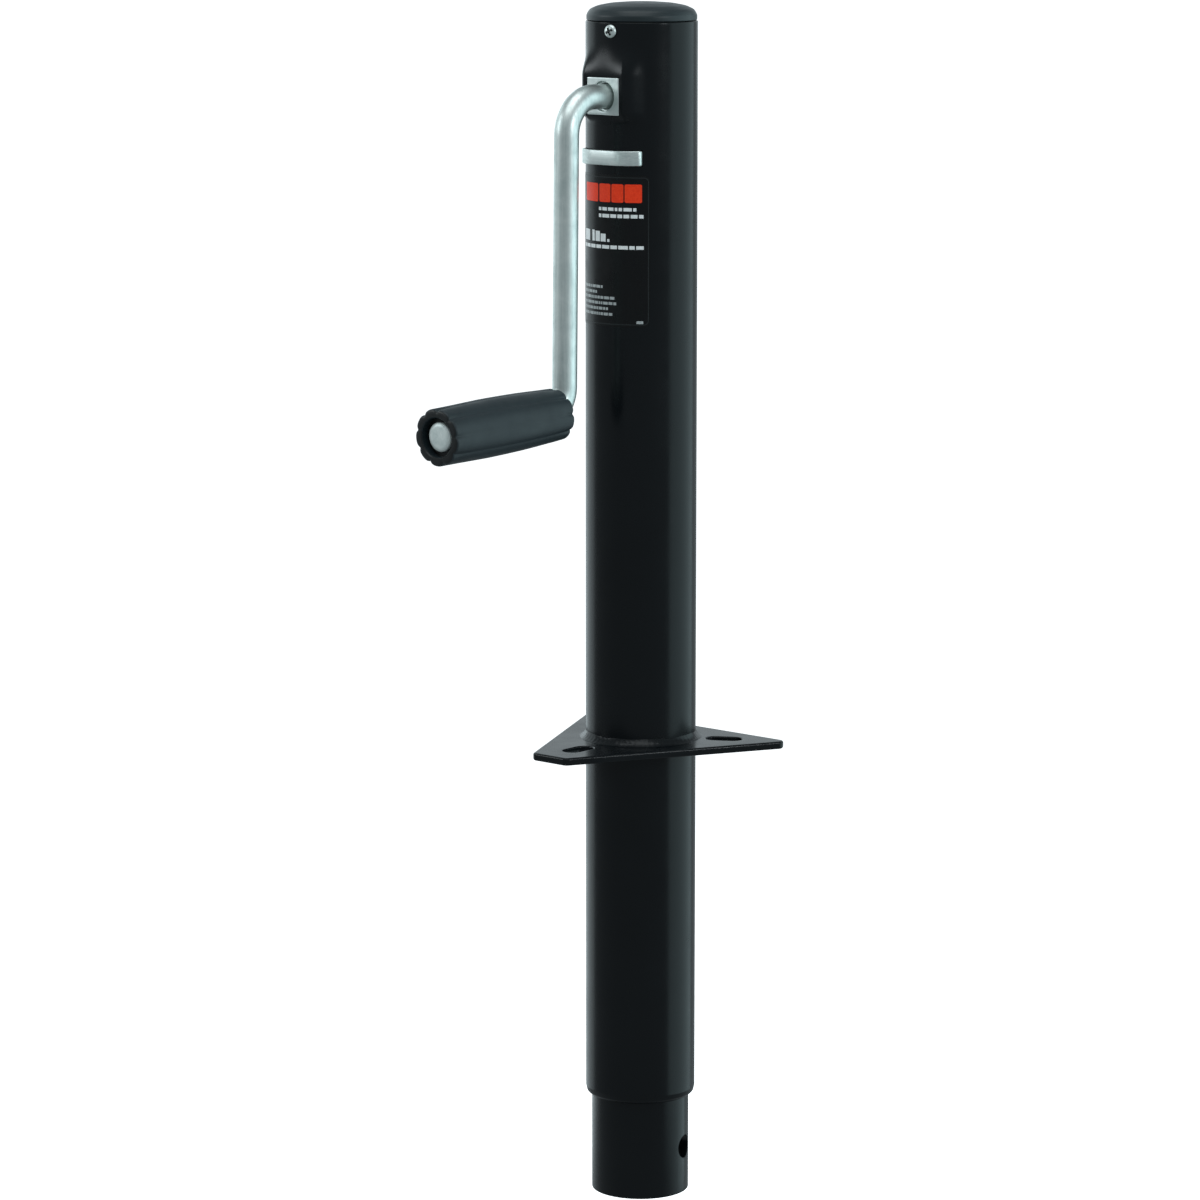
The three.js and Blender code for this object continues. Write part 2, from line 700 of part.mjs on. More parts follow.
function gripRivet() {
  const shank = GRIP_RIVET_SHANK;
  const head = GRIP_RIVET_HEAD;
  const disc = [[head, GAP], [head, 1.6], [head - 1, 2.3], [0, 2.3]];
  return turned([[0, -11], [shank, -11], [shank, GAP], ...disc], 32);
}

// ---------- Assembly ----------

export const jack = new THREE.Group();

function add(name, finish, geometry) {
  const mesh = new THREE.Mesh(geometry, new THREE.MeshStandardMaterial(FINISHES[finish]));
  mesh.name = name;
  jack.add(mesh);
}

add("outer_tube", "black_paint", outerTube());
add("mounting_flange", "black_paint", mountingFlange());
add("flange_weld", "black_paint", flangeWeld());
add("top_cap", "black_plastic", topCap());
for (const [name, azimuth] of Object.entries(CAP_SCREW_AZIMUTHS)) add(name, "zinc", capScrew(azimuth));
add("label", "label", labelSheet());
add("crank_bush_front", "zinc", frontBush());
add("crank_bush_rear", "zinc", rearBush());
add("seat_clip", "zinc", seatClip());
add("bearing_seat", "gear_steel", bearingSeat());

add("crank_rod", "zinc", crankRod());
add("bevel_pinion", "gear_steel", bevelPinion());
add("pinion_pin", "bright_steel", pinionPin());
add("spindle_ring", "zinc", spindleRing());
add("grip_rivet", "zinc", alongGrip(gripRivet(), ROD_END));
add("grip", "black_plastic", alongGrip(gripSleeve(), GRIP_START));

add("lead_screw", "bright_steel", leadScrew());
add("bevel_gear", "gear_steel", bevelGearOnScrew());
add("gear_pin", "bright_steel", gearPin());
add("gear_washer", "bright_steel", ring(RACE_BORE, 13, SEAT_TOP + GAP, GEAR_HUB_BOTTOM - GAP, 32));
const upperRace = [UPPER_RACE_TOP - RACE_THICKNESS, UPPER_RACE_TOP];
add("bearing_upper_race", "bright_steel", ring(RACE_BORE, RACE_RADIUS, ...upperRace, 32));
add("bearing_balls", "bright_steel", ballsInCage());
add("bearing_lower_race", "bright_steel", ring(RACE_BORE, RACE_RADIUS, COLLAR_TOP + GAP, LOWER_RACE_TOP, 32));
add("stop_washer", "bright_steel", ring(SCREW_RADIUS + GAP, 17, SCREW_BOTTOM + 6.5, SCREW_BOTTOM + 9.5, 32));
add("stop_pin", "bright_steel", stopPin());

add("inner_tube", "black_paint", legTube());
add("drive_nut", "gear_steel", driveNut());
for (const [name, azimuth] of Object.entries(NUT_PIN_AZIMUTHS)) add(name, "bright_steel", nutPin(azimuth));

export default jack;
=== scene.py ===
"""Looks of a side-wind trailer tongue jack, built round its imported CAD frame."""

import math

import bmesh
import bpy
import numpy as np
from mathutils import Matrix, Vector

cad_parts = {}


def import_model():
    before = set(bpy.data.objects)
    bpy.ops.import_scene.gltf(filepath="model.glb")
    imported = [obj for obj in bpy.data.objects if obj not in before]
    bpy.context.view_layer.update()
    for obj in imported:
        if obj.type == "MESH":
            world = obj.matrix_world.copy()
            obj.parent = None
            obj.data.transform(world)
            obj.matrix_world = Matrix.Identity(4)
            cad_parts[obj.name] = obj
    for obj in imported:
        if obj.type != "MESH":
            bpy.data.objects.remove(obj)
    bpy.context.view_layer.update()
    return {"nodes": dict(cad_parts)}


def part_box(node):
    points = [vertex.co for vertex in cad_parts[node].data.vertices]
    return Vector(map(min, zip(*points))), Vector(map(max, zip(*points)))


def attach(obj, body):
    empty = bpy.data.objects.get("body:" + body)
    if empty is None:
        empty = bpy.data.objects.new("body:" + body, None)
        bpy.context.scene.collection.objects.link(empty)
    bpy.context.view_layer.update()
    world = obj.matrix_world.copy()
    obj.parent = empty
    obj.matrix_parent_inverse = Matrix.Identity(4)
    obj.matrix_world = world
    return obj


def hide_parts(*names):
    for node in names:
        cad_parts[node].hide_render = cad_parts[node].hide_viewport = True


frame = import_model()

MM = 0.001
TAU = 2 * math.pi


# ---------- Sizes in millimetres, with the axis at x = y = 0 and the crank's side at -Y ----------


def heights(name):
    """The lowest and highest level of one of the frame's nodes."""
    low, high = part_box(name)
    return low[2] / MM, high[2] / MM


TUBE_BOTTOM, TUBE_TOP = heights("outer_tube")
LEG_BOTTOM, LEG_TOP = heights("inner_tube")
LABEL_BOTTOM, LABEL_TOP = heights("label")

TUBE_RADIUS = 28.575
TUBE_BORE = 25.775
LEG_RADIUS = 25.4
LEG_BORE = 22.2
LEG_TRAVEL = 381.0
SHAFT_HEIGHT = 336.6
ROD_RADIUS = 6.3
BUSH_BORE = 6.65
CAP_SCREW_HEIGHT = 369.2
CAP_SCREW_AZIMUTHS = (8, 188)
CLIP_HEIGHT = 305.7
CLIP_END_AZIMUTH = 40
FLANGE_THICKNESS = 4.0

# Each side's azimuth and distance from the axis, then each slot's azimuth and its middle's distance.
FLANGE_SIDES = ((0, 71.6), (63, 42.6), (121.5, 75.0), (180, 39.7), (238.5, 75.0), (297, 42.6))
SLOTS = ((0, 49.0), (120, 44.0), (240, 44.0))

# Vertices closer than this, in metres, are one.
MERGE_DISTANCE = 1e-7


# ---------- Mesh helpers: every function takes millimetres ----------


def raw_mesh(name, vertices, faces):
    mesh = bpy.data.meshes.new(name)
    mesh.from_pydata([tuple(c * MM for c in v) for v in vertices], [], faces)
    return mesh


def mesh_from(work, name):
    """Turns a bmesh into a new mesh, and frees it."""
    mesh = bpy.data.meshes.new(name)
    work.to_mesh(mesh)
    work.free()
    return mesh


def add_object(name, data):
    made = bpy.data.objects.new(name, data)
    bpy.context.scene.collection.objects.link(made)
    return made


def shade(mesh, sharp_angle):
    mesh.shade_smooth()
    mesh.set_sharp_from_angle(angle=math.radians(sharp_angle))


def place_mesh(name, mesh, sharp_angle=35.0):
    """Merges a mesh's doubles, turns its faces outwards and makes an object of it."""
    work = bmesh.new()
    work.from_mesh(mesh)
    bmesh.ops.remove_doubles(work, verts=work.verts, dist=MERGE_DISTANCE)
    bmesh.ops.recalc_face_normals(work, faces=work.faces)
    work.to_mesh(mesh)
    work.free()
    shade(mesh, sharp_angle)
    return add_object(name, mesh)


def new_object(name, vertices, faces, sharp_angle=35.0):
    return place_mesh(name, raw_mesh(name, vertices, faces), sharp_angle)


def filleted(corners, default_radius=0.0, steps=5):
    """A closed outline of (x, y) or (x, y, radius) corners, with each corner rounded."""
    points = []
    count = len(corners)
    for i, corner in enumerate(corners):
        here = np.array(corner[:2], float)
        radius = corner[2] if len(corner) > 2 else default_radius
        before = np.array(corners[i - 1][:2], float) - here
        after = np.array(corners[(i + 1) % count][:2], float) - here
        if radius <= 0:
            points.append(tuple(here))
            continue
        before_length, after_length = np.linalg.norm(before), np.linalg.norm(after)
        before, after = before / before_length, after / after_length
        half = math.acos(max(-1, min(1, float(before @ after)))) / 2
        if half > math.radians(89):
            points.append(tuple(here))
            continue
        radius = min(radius, 0.49 * min(before_length, after_length) * math.tan(half))
        middle = before + after
        middle /= np.linalg.norm(middle)
        centre = here + middle * radius / math.sin(half)
        start = here + before * radius / math.tan(half) - centre
        end = here + after * radius / math.tan(half) - centre
        a0, a1 = math.atan2(start[1], start[0]), math.atan2(end[1], end[0])
        sweep = (a1 - a0 + math.pi) % TAU - math.pi
        for k in range(steps + 1):
            angle = a0 + sweep * k / steps
            points.append((centre[0] + radius * math.cos(angle), centre[1] + radius * math.sin(angle)))
    return points


def grid_faces(rows, columns, closed_rows, closed_columns):
    faces = []
    for i in range(rows if closed_rows else rows - 1):
        for j in range(columns if closed_columns else columns - 1):
            a, b = i * columns + j, i * columns + (j + 1) % columns
            c, d = ((i + 1) % rows) * columns + (j + 1) % columns, ((i + 1) % rows) * columns + j
            faces.append((a, b, c, d))
    return faces


def lathe(name, profile, sides=96, closed=True):
    """Turns a profile of (radius, height) about Z."""
    vertices = []
    for radius, height in profile:
        for k in range(sides):
            angle = TAU * k / sides
            vertices.append((radius * math.cos(angle), radius * math.sin(angle), height))
    return new_object(name, vertices, grid_faces(len(profile), sides, closed, True))


def clean(made, sharp_angle=35.0):
    """Removes the collapsed faces at a lathe's poles."""
    work = bmesh.new()
    work.from_mesh(made.data)
    bmesh.ops.remove_doubles(work, verts=work.verts, dist=2 * MERGE_DISTANCE)
    bmesh.ops.dissolve_degenerate(work, dist=2 * MERGE_DISTANCE, edges=work.edges)
    bmesh.ops.recalc_face_normals(work, faces=work.faces)
    work.to_mesh(made.data)
    work.free()
    shade(made.data, sharp_angle)
    return made


def move(made, matrix):
    made.data.transform(matrix)
    return made


def at(x, y, z):
    return Matrix.Translation((x * MM, y * MM, z * MM))


def turn(degrees, axis):
    return Matrix.Rotation(math.radians(degrees), 4, axis)


def towards(azimuth, height):
    """Takes a piece made along +Z out along a radius of the tube, at that azimuth from -Y."""
    return at(0, 0, height) @ turn(azimuth, "Z") @ turn(90, "X")


def cut(made, *cutters, sharp_angle=35.0, operation="DIFFERENCE"):
    """Applies each cutter to a piece, and removes the cutters."""
    for cutter in cutters:
        modifier = made.modifiers.new("cut", "BOOLEAN")
        modifier.operation = operation
        modifier.solver = "EXACT"
        modifier.object = cutter
    graph = bpy.context.evaluated_depsgraph_get()
    graph.update()
    mesh = bpy.data.meshes.new_from_object(made.evaluated_get(graph))
    made.modifiers.clear()
    old = made.data
    made.data = mesh
    bpy.data.meshes.remove(old)
    for cutter in cutters:
        bpy.data.objects.remove(cutter)
    shade(made.data, sharp_angle)
    return made


def joined(name, *parts):
    """One object that holds the meshes of several closed parts."""
    work = bmesh.new()
    for part in parts:
        work.from_mesh(part.data)
    mesh = mesh_from(work, name)
    for part in parts:
        bpy.data.objects.remove(part)
    shade(mesh, 35.0)
    return add_object(name, mesh)


def rounded_block(name, low, high, radius, steps):
    work = bmesh.new()
    bmesh.ops.create_cube(work, size=1)
    for vertex in work.verts:
        for axis in range(3):
            vertex.co[axis] = (low[axis] + (high[axis] - low[axis]) * (vertex.co[axis] + 0.5)) * MM
    bmesh.ops.bevel(
        work, geom=work.edges[:], offset=radius * MM, segments=steps, affect="EDGES", profile=0.5
    )
    return place_mesh(name, mesh_from(work, name))


def bar(name, radius, start, end, sides=48):
    """A round bar along Z, for cutting."""
    profile = [(0, start), (radius, start), (radius, end), (0, end)]
    return clean(lathe(name, profile, sides, closed=False))


def offset_outline(points, distance):
    """An anticlockwise closed outline moved inwards by a distance (outwards if negative)."""
    p = np.array(points, float)
    before, after = np.roll(p, 1, 0), np.roll(p, -1, 0)
    edge_in, edge_out = p - before, after - p
    edge_in /= np.linalg.norm(edge_in, axis=1)[:, None]
    edge_out /= np.linalg.norm(edge_out, axis=1)[:, None]
    normal_in = np.stack([-edge_in[:, 1], edge_in[:, 0]], 1)
    normal_out = np.stack([-edge_out[:, 1], edge_out[:, 0]], 1)
    middle = normal_in + normal_out
    middle /= (middle * normal_in).sum(1)[:, None]
    return p + middle * distance


def plate(name, outline, holes, bottom, top, outer_round, hole_round, steps=4):
    """A flat plate with rounded edges. The outline runs anticlockwise and the holes clockwise."""
    work = bmesh.new()
    loops = [(outline, outer_round)] + [(hole, hole_round) for hole in holes]
    top_edges, bottom_edges = [], []
    for points, radius in loops:
        rings = []
        support = offset_outline(points, radius + 0.5)
        rings.append([(x, y, top) for x, y in support])
        for k in range(steps + 1):
            angle = math.pi / 2 * k / steps
            inset = offset_outline(points, radius * (1 - math.sin(angle)))
            rings.append([(x, y, top - radius * (1 - math.cos(angle))) for x, y in inset])
        for k in range(steps, -1, -1):
            angle = math.pi / 2 * k / steps
            inset = offset_outline(points, radius * (1 - math.sin(angle)))
            rings.append([(x, y, bottom + radius * (1 - math.cos(angle))) for x, y in inset])
        rings.append([(x, y, bottom) for x, y in support])
        made = [[work.verts.new([c * MM for c in v]) for v in ring] for ring in rings]
        count = len(points)
        for upper, lower in zip(made, made[1:]):
            for j in range(count):
                k = (j + 1) % count
                work.faces.new((upper[j], lower[j], lower[k], upper[k]))
        top_edges += [work.edges.get((made[0][j], made[0][(j + 1) % count])) for j in range(count)]
        bottom_edges += [work.edges.get((made[-1][j], made[-1][(j + 1) % count])) for j in range(count)]
    bmesh.ops.triangle_fill(work, use_beauty=True, edges=top_edges)
    bmesh.ops.triangle_fill(work, use_beauty=True, edges=bottom_edges)
    return place_mesh(name, mesh_from(work, name), 40)


def circle(radius, count, clockwise=False):
    sign = -1 if clockwise else 1
    angles = [sign * TAU * k / count for k in range(count)]
    return [(radius * math.cos(angle), radius * math.sin(angle)) for angle in angles]


def rectangle(left, right, bottom, top, radius=0.0, steps=5):
    corners = [(left, bottom), (right, bottom), (right, top), (left, top)]
    return filleted(corners, radius, steps)


def swept(name, centres, normals, binormals, section, scales=None):
    """Sweeps a closed section of (normal, binormal) offsets along centres, with capped ends."""
    vertices = []
    for i, centre in enumerate(centres):
        scale = scales[i] if scales else 1.0
        for u, v in section:
            vertices.append(tuple(centre + normals[i] * (u * scale) + binormals[i] * (v * scale)))
    count = len(section)
    faces = grid_faces(len(centres), count, False, True)
    faces.append(tuple(range(count))[::-1])
    faces.append(tuple(range((len(centres) - 1) * count, len(centres) * count)))
    return new_object(name, vertices, faces)


def straight(first, last, spacing):
    """Even points from first, which is left out, to last."""
    count = max(1, int(np.linalg.norm(last - first) / spacing))
    return [first + (last - first) * k / count for k in range(1, count + 1)]


def arc_path(corners, bends, spacing, arc_steps):
    """Points along a polyline in the plane, with each inner corner bent to its radius."""
    points = [np.array(corners[0], float)]
    for i, radius in enumerate(bends):
        corner = np.array(corners[i + 1], float)
        arriving = corner - np.array(corners[i], float)
        arriving /= np.linalg.norm(arriving)
        leaving = np.array(corners[i + 2], float) - corner
        leaving /= np.linalg.norm(leaving)
        sweep = math.acos(max(-1, min(1, float(arriving @ leaving))))
        start = corner - arriving * (radius * math.tan(sweep / 2))
        inward = leaving - arriving * float(leaving @ arriving)
        inward /= np.linalg.norm(inward)
        points += straight(points[-1], start, spacing)
        for k in range(1, arc_steps + 1):
            angle = sweep * k / arc_steps
            ahead = arriving * radius * math.sin(angle)
            points.append(start + ahead + inward * radius * (1 - math.cos(angle)))
    points += straight(points[-1], np.array(corners[-1], float), spacing)
    return np.array(points)


def unit_tangents(path):
    tangent = np.gradient(path, axis=0)
    return tangent / np.linalg.norm(tangent, axis=1)[:, None]


def polar(radius, azimuth):
    """The (x, y) at a radius, at that azimuth from -Y."""
    angle = math.radians(azimuth)
    return radius * math.sin(angle), -radius * math.cos(angle)


def ease(t):
    """0 up to t = 0 and 1 from t = 1, with a level start and end."""
    t = min(max(t, 0.0), 1.0)
    return t * t * (3 - 2 * t)


def soft_ease(t):
    """The same with no curvature at either end."""
    t = min(max(t, 0.0), 1.0)
    return t * t * t * (t * (t * 6 - 15) + 10)


# ---------- Materials ----------


class Nodes:
    """A small helper for writing a material's node tree."""

    def __init__(self, name):
        self.material = bpy.data.materials.new(name)
        self.material.use_nodes = True
        self.tree = self.material.node_tree
        self.shader = self.tree.nodes["Principled BSDF"]
        self.place = self.add("ShaderNodeTexCoord").outputs["Object"]

    def add(self, kind, **settings):
        node = self.tree.nodes.new(kind)
        for key, value in settings.items():
            setattr(node, key, value)
        return node

    def link(self, source, target):
        self.tree.links.new(source, target)
        return source

    def scaled(self, scale):
        mapping = self.add("ShaderNodeMapping")
        self.link(self.place, mapping.inputs["Vector"])
        mapping.inputs["Scale"].default_value = scale
        return mapping.outputs["Vector"]

    def noise(self, scale, detail=3.0, roughness=0.5, place=None, distortion=0.0):
        node = self.add("ShaderNodeTexNoise")
        self.link(place or self.place, node.inputs["Vector"])
        node.inputs["Scale"].default_value = scale
        node.inputs["Detail"].default_value = detail
        node.inputs["Roughness"].default_value = roughness
        node.inputs["Distortion"].default_value = distortion
        return node.outputs["Fac"]

    def ramp(self, value, stops):
        node = self.add("ShaderNodeValToRGB")
        self.link(value, node.inputs["Fac"])
        elements = node.color_ramp.elements
        while len(elements) < len(stops):
            elements.new(0.5)
        for element, (position, colour) in zip(elements, stops):
            element.position = position
            element.color = (*colour, 1) if len(colour) == 3 else colour
        return node.outputs["Color"]

    def spread(self, value, low, high, out_low, out_high):
        node = self.add("ShaderNodeMapRange")
        self.link(value, node.inputs["Value"])
        ends = {"From Min": low, "From Max": high, "To Min": out_low, "To Max": out_high}
        for key, number in ends.items():
            node.inputs[key].default_value = number
        return node.outputs["Result"]

    def math(self, operation, first, second):
        node = self.add("ShaderNodeMath", operation=operation)
        for socket, value in zip(node.inputs, (first, second)):
            if isinstance(value, (int, float)):
                socket.default_value = value
            else:
                self.link(value, socket)
        return node.outputs["Value"]

    def bump(self, height, distance, strength=1.0, before=None):
        node = self.add("ShaderNodeBump")
        node.inputs["Strength"].default_value = strength
        node.inputs["Distance"].default_value = distance * MM
        self.link(height, node.inputs["Height"])
        if before is not None:
            self.link(before, node.inputs["Normal"])
        return node.outputs["Normal"]

    def finish(self, colour=None, roughness=None, normal=None, **fixed):
        for source, name in ((colour, "Base Color"), (roughness, "Roughness"), (normal, "Normal")):
            if source is not None:
                self.link(source, self.shader.inputs[name])
        for key, value in fixed.items():
            self.shader.inputs[key.replace("_", " ")].default_value = value
        return self.material


def powder_coat():
    n = Nodes("black_powder_coat")
    patches = n.noise(14, 4, 0.6)
    colour = n.ramp(patches, [(0.3, (0.0028, 0.0040, 0.0050)), (0.7, (0.0042, 0.0058, 0.0070))])
    orange_peel = n.noise(620, 2, 0.45)
    grain = n.noise(2600, 2, 0.6)
    normal = n.bump(grain, 0.004, 0.35, n.bump(orange_peel, 0.03, 0.32))
    roughness = n.spread(n.noise(60, 5, 0.6), 0.3, 0.7, 0.20, 0.28)
    return n.finish(colour, roughness, normal, Specular_IOR_Level=0.2)


def zinc_plate(name, stretch, streak=0.5, metallic=1.0, painted_light_lift=1.0):
    """Bright zinc, with drawing lines along the axis that has the small stretch value. A
    painted_light_lift above 1 brightens the tones as painted light.
    """
    n = Nodes(name)
    lines = n.noise(1.0, 5, 0.62, n.scaled(stretch))
    clouds = n.noise(120, 4, 0.6, distortion=0.4)
    both = n.math("ADD", n.math("MULTIPLY", lines, streak), n.math("MULTIPLY", clouds, 1 - streak))
    tones = [(0.34, (0.50, 0.57, 0.555)), (0.5, (0.63, 0.69, 0.67)), (0.66, (0.76, 0.81, 0.785))]
    colour = n.ramp(both, [(stop, tuple(painted_light_lift * c for c in tone)) for stop, tone in tones])
    roughness = n.spread(both, 0.3, 0.7, 0.52, 0.36)
    pits = n.noise(1500, 3, 0.6)
    normal = n.bump(pits, 0.006, 0.35, n.bump(lines, 0.02, 0.3))
    return n.finish(colour, roughness, normal, Metallic=metallic)


def moulded_plastic(name, dark, light, roughness_range):
    n = Nodes(name)
    flow = n.noise(26, 4, 0.55, distortion=0.8)
    colour = n.ramp(flow, [(0.3, dark), (0.7, light)])
    fine = n.noise(2100, 2, 0.55)
    waves = n.noise(210, 3, 0.5)
    normal = n.bump(fine, 0.01, 0.5, n.bump(waves, 0.03, 0.25))
    roughness = n.spread(n.noise(90, 4, 0.6), 0.3, 0.7, *roughness_range)
    return n.finish(colour, roughness, normal, Specular_IOR_Level=0.38)


def machined_steel(name, dark, light, roughness_range):
    n = Nodes(name)
    marks = n.noise(1.0, 4, 0.6, n.scaled((180, 180, 1900)))
    clouds = n.noise(70, 4, 0.6)
    mixed = n.math("ADD", n.math("MULTIPLY", marks, 0.55), n.math("MULTIPLY", clouds, 0.45))
    colour = n.ramp(mixed, [(0.32, dark), (0.68, light)])
    roughness = n.spread(mixed, 0.3, 0.7, *roughness_range)
    normal = n.bump(marks, 0.01, 0.4)
    return n.finish(colour, roughness, normal, Metallic=1.0)


def printed(name, colour_low, colour_high, roughness=0.42):
    n = Nodes(name)
    dots = n.noise(900, 3, 0.6)
    colour = n.ramp(dots, [(0.3, colour_low), (0.7, colour_high)])
    normal = n.bump(n.noise(1700, 2, 0.5), 0.003, 0.3)
    spread = n.spread(n.noise(160, 3, 0.5), 0.3, 0.7, roughness - 0.05, roughness + 0.06)
    return n.finish(colour, spread, normal, Specular_IOR_Level=0.22)


PAINT = powder_coat()
ZINC_UPRIGHT = zinc_plate("zinc_drawn_upright", (900, 900, 26))
ZINC_ACROSS = zinc_plate("zinc_drawn_across", (40, 700, 1100), 0.6)
ZINC_MILLED = zinc_plate("zinc_mottled", (260, 260, 260), 0.3, 0.9)
# Near-black painted shade for the faces inside the screws' cross recess.
RECESS_PAINTED_SHADE = machined_steel("screw_recess_painted_shade", (0.02, 0.022, 0.022), (0.05, 0.054, 0.054), (0.5, 0.7))
# A 12% lighter, less metallic copy of the zinc: painted light for the grip's end disc.
ZINC_MATTE_PAINTED_LIGHT = zinc_plate("zinc_matte_painted_light", (420, 420, 420), 0.3, 0.35, 1.12)
GRIP_PLASTIC = moulded_plastic(
    "grip_plastic", (0.0095, 0.0170, 0.0210), (0.0150, 0.0250, 0.0300), (0.46, 0.58)
)
# A darker copy of the grip plastic, painted shade for the grip's end faces.
GRIP_END_PAINTED_SHADE = moulded_plastic(
    "grip_end_painted_shade", (0.0035, 0.0048, 0.0054), (0.0055, 0.0072, 0.0080), (0.36, 0.46)
)
CAP_PLASTIC = moulded_plastic(
    "cap_plastic", (0.0100, 0.0175, 0.0205), (0.0155, 0.0250, 0.0290), (0.36, 0.48)
)
VINYL = printed("label_vinyl", (0.0022, 0.0026, 0.0030), (0.0036, 0.0041, 0.0046), 0.3)
INK_RED = printed("label_ink_orange_red", (0.86, 0.040, 0.008), (0.98, 0.060, 0.014))
INK_WHITE = printed("label_ink_white", (0.74, 0.77, 0.77), (0.88, 0.90, 0.90))
INK_PALE = printed("label_ink_pale_grey", (0.34, 0.37, 0.37), (0.46, 0.49, 0.49))
INK_GREY = printed("label_ink_dark_grey", (0.016, 0.019, 0.020), (0.024, 0.028, 0.029))
GEAR_STEEL = machined_steel("gear_steel_oiled", (0.16, 0.155, 0.15), (0.30, 0.295, 0.285), (0.34, 0.5))
BRIGHT_STEEL = machined_steel(
    "bright_steel_greased", (0.36, 0.36, 0.35), (0.56, 0.56, 0.55), (0.2, 0.36)
)


def piece(made, body, slot, material, *nodes):
    """Puts a material on a piece that has none, hangs the piece on its body and hides the CAD nodes
    that it stands for.
    """
    if not made.data.materials:
        made.data.materials.append(material)
    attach(made, body)
    if nodes:
        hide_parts(*nodes)
    return made


# ---------- Outer tube ----------

BOSS_FACE = 30.1
PLATE_HALF_WIDTH, PLATE_HALF_HEIGHT = 10.6, 9.5
BOSS_HALF_WIDTH = 13.0
BOSS_LOW, BOSS_LOW_FADE = 328.7, 6.5
BOSS_HIGH, BOSS_TOP_FADE = 346.4, 16.5
BOSS_END_ANGLE = math.radians(47)


def boss_rise(angle, height):
    """How far the pressed boss stands out of the round tube, at an angle from -Y in radians."""
    edge = math.atan(BOSS_HALF_WIDTH / BOSS_FACE)
    face = BOSS_FACE / math.cos(min(abs(angle), edge)) - TUBE_RADIUS
    side = ease((abs(angle) - edge) / (BOSS_END_ANGLE - edge))
    end = ease((height - BOSS_HIGH) / BOSS_TOP_FADE) + ease((BOSS_LOW - height) / BOSS_LOW_FADE)
    return face * (1 - side) * (1 - end)


def outer_tube():
    """The tube with its swaged lower end. Close rings near the top carry the boss."""
    sides = 288
    outline = filleted(
        [
            (TUBE_BORE + 0.5, TUBE_BOTTOM, 0.4),
            (TUBE_RADIUS - 2.1, TUBE_BOTTOM, 0.8),
            (TUBE_RADIUS - 0.6, TUBE_BOTTOM + 1.3, 2.0),
            (TUBE_RADIUS, TUBE_BOTTOM + 4.0, 3.5),
            (TUBE_RADIUS, TUBE_TOP, 0.55),
            (TUBE_BORE, TUBE_TOP, 0.4),
            (TUBE_BORE, TUBE_BOTTOM + 0.8, 0.3),
        ],
        steps=6,
    )
    profile = []
    for i, (radius, height) in enumerate(outline):
        profile.append((radius, height))
        following = outline[(i + 1) % len(outline)]
        if abs(radius - TUBE_RADIUS) < 0.02 and following[1] - height > 100:
            profile += [(TUBE_RADIUS, h) for h in np.arange(-160, 295, 35.0)]
            profile += [(TUBE_RADIUS, h) for h in np.arange(300, TUBE_TOP - 1.2, 0.85)]
    vertices = []
    for radius, height in profile:
        for k in range(sides):
            angle = TAU * (k + 0.5) / sides - math.pi
            r = radius + (boss_rise(angle, height) if radius > TUBE_RADIUS - 0.01 else 0.0)
            vertices.append((r * math.sin(angle), -r * math.cos(angle), height))
    made = new_object("tube_shell", vertices, grid_faces(len(profile), sides, True, True))
    wide, tall = PLATE_HALF_WIDTH + 0.25, PLATE_HALF_HEIGHT + 0.25
    pocket_low = (-wide, -40, SHAFT_HEIGHT - tall)
    pocket_high = (wide, -(BOSS_FACE - 2.6), SHAFT_HEIGHT + tall)
    inside, outside = 18, 36
    cutters = [
        rounded_block("pocket", pocket_low, pocket_high, 0.7, 4),
        move(bar("front_hole", 9.3, inside, outside), towards(0, SHAFT_HEIGHT)),
        move(bar("rear_hole", 8.15, inside, outside), towards(180, SHAFT_HEIGHT)),
    ]
    for azimuth in CAP_SCREW_AZIMUTHS:
        hole = bar("screw_hole", 2.1, inside, outside, 24)
        cutters.append(move(hole, towards(azimuth, CAP_SCREW_HEIGHT)))
    for azimuth in (-CLIP_END_AZIMUTH, CLIP_END_AZIMUTH):
        slot_low, slot_high = (-1.0, -35, CLIP_HEIGHT - 4.1), (1.0, -20, CLIP_HEIGHT + 4.1)
        slot = rounded_block("tab_slot", slot_low, slot_high, 0.4, 2)
        cutters.append(move(slot, turn(azimuth, "Z")))
    return cut(made, *cutters, sharp_angle=32)


piece(outer_tube(), "jack_body", "black_paint", PAINT, "outer_tube")


# ---------- Flange and weld ----------

SLOT_RADIUS, SLOT_HALF_LENGTH = 5, 4.5


def mounting_flange():
    """The plate between its six sides: three long ones and a short one across each corner."""
    corners = []
    for side, (azimuth, distance) in enumerate(FLANGE_SIDES):
        next_azimuth, next_distance = FLANGE_SIDES[(side + 1) % len(FLANGE_SIDES)]
        normals = np.array([polar(1, azimuth), polar(1, next_azimuth)])
        corner_radius = 3.5
        meeting = np.linalg.solve(normals, [distance, next_distance])
        corners.append((*meeting, corner_radius))
    outline = filleted(corners, steps=10)
    holes = [circle(TUBE_RADIUS + 0.25, 144, clockwise=True)]
    for azimuth, middle in SLOTS:
        axis = np.array(polar(1, azimuth))
        across = np.array([-axis[1], axis[0]])
        hole = []
        for centre, first in ((middle + SLOT_HALF_LENGTH, -90), (middle - SLOT_HALF_LENGTH, 90)):
            for k in range(13):
                angle = math.radians(first + 180 * k / 12)
                out = axis * (centre + SLOT_RADIUS * math.cos(angle))
                hole.append(tuple(out + across * SLOT_RADIUS * math.sin(angle)))
        holes.append(hole[::-1])
    return plate("flange_plate", outline, holes, 0.0, FLANGE_THICKNESS, 1.1, 0.7)


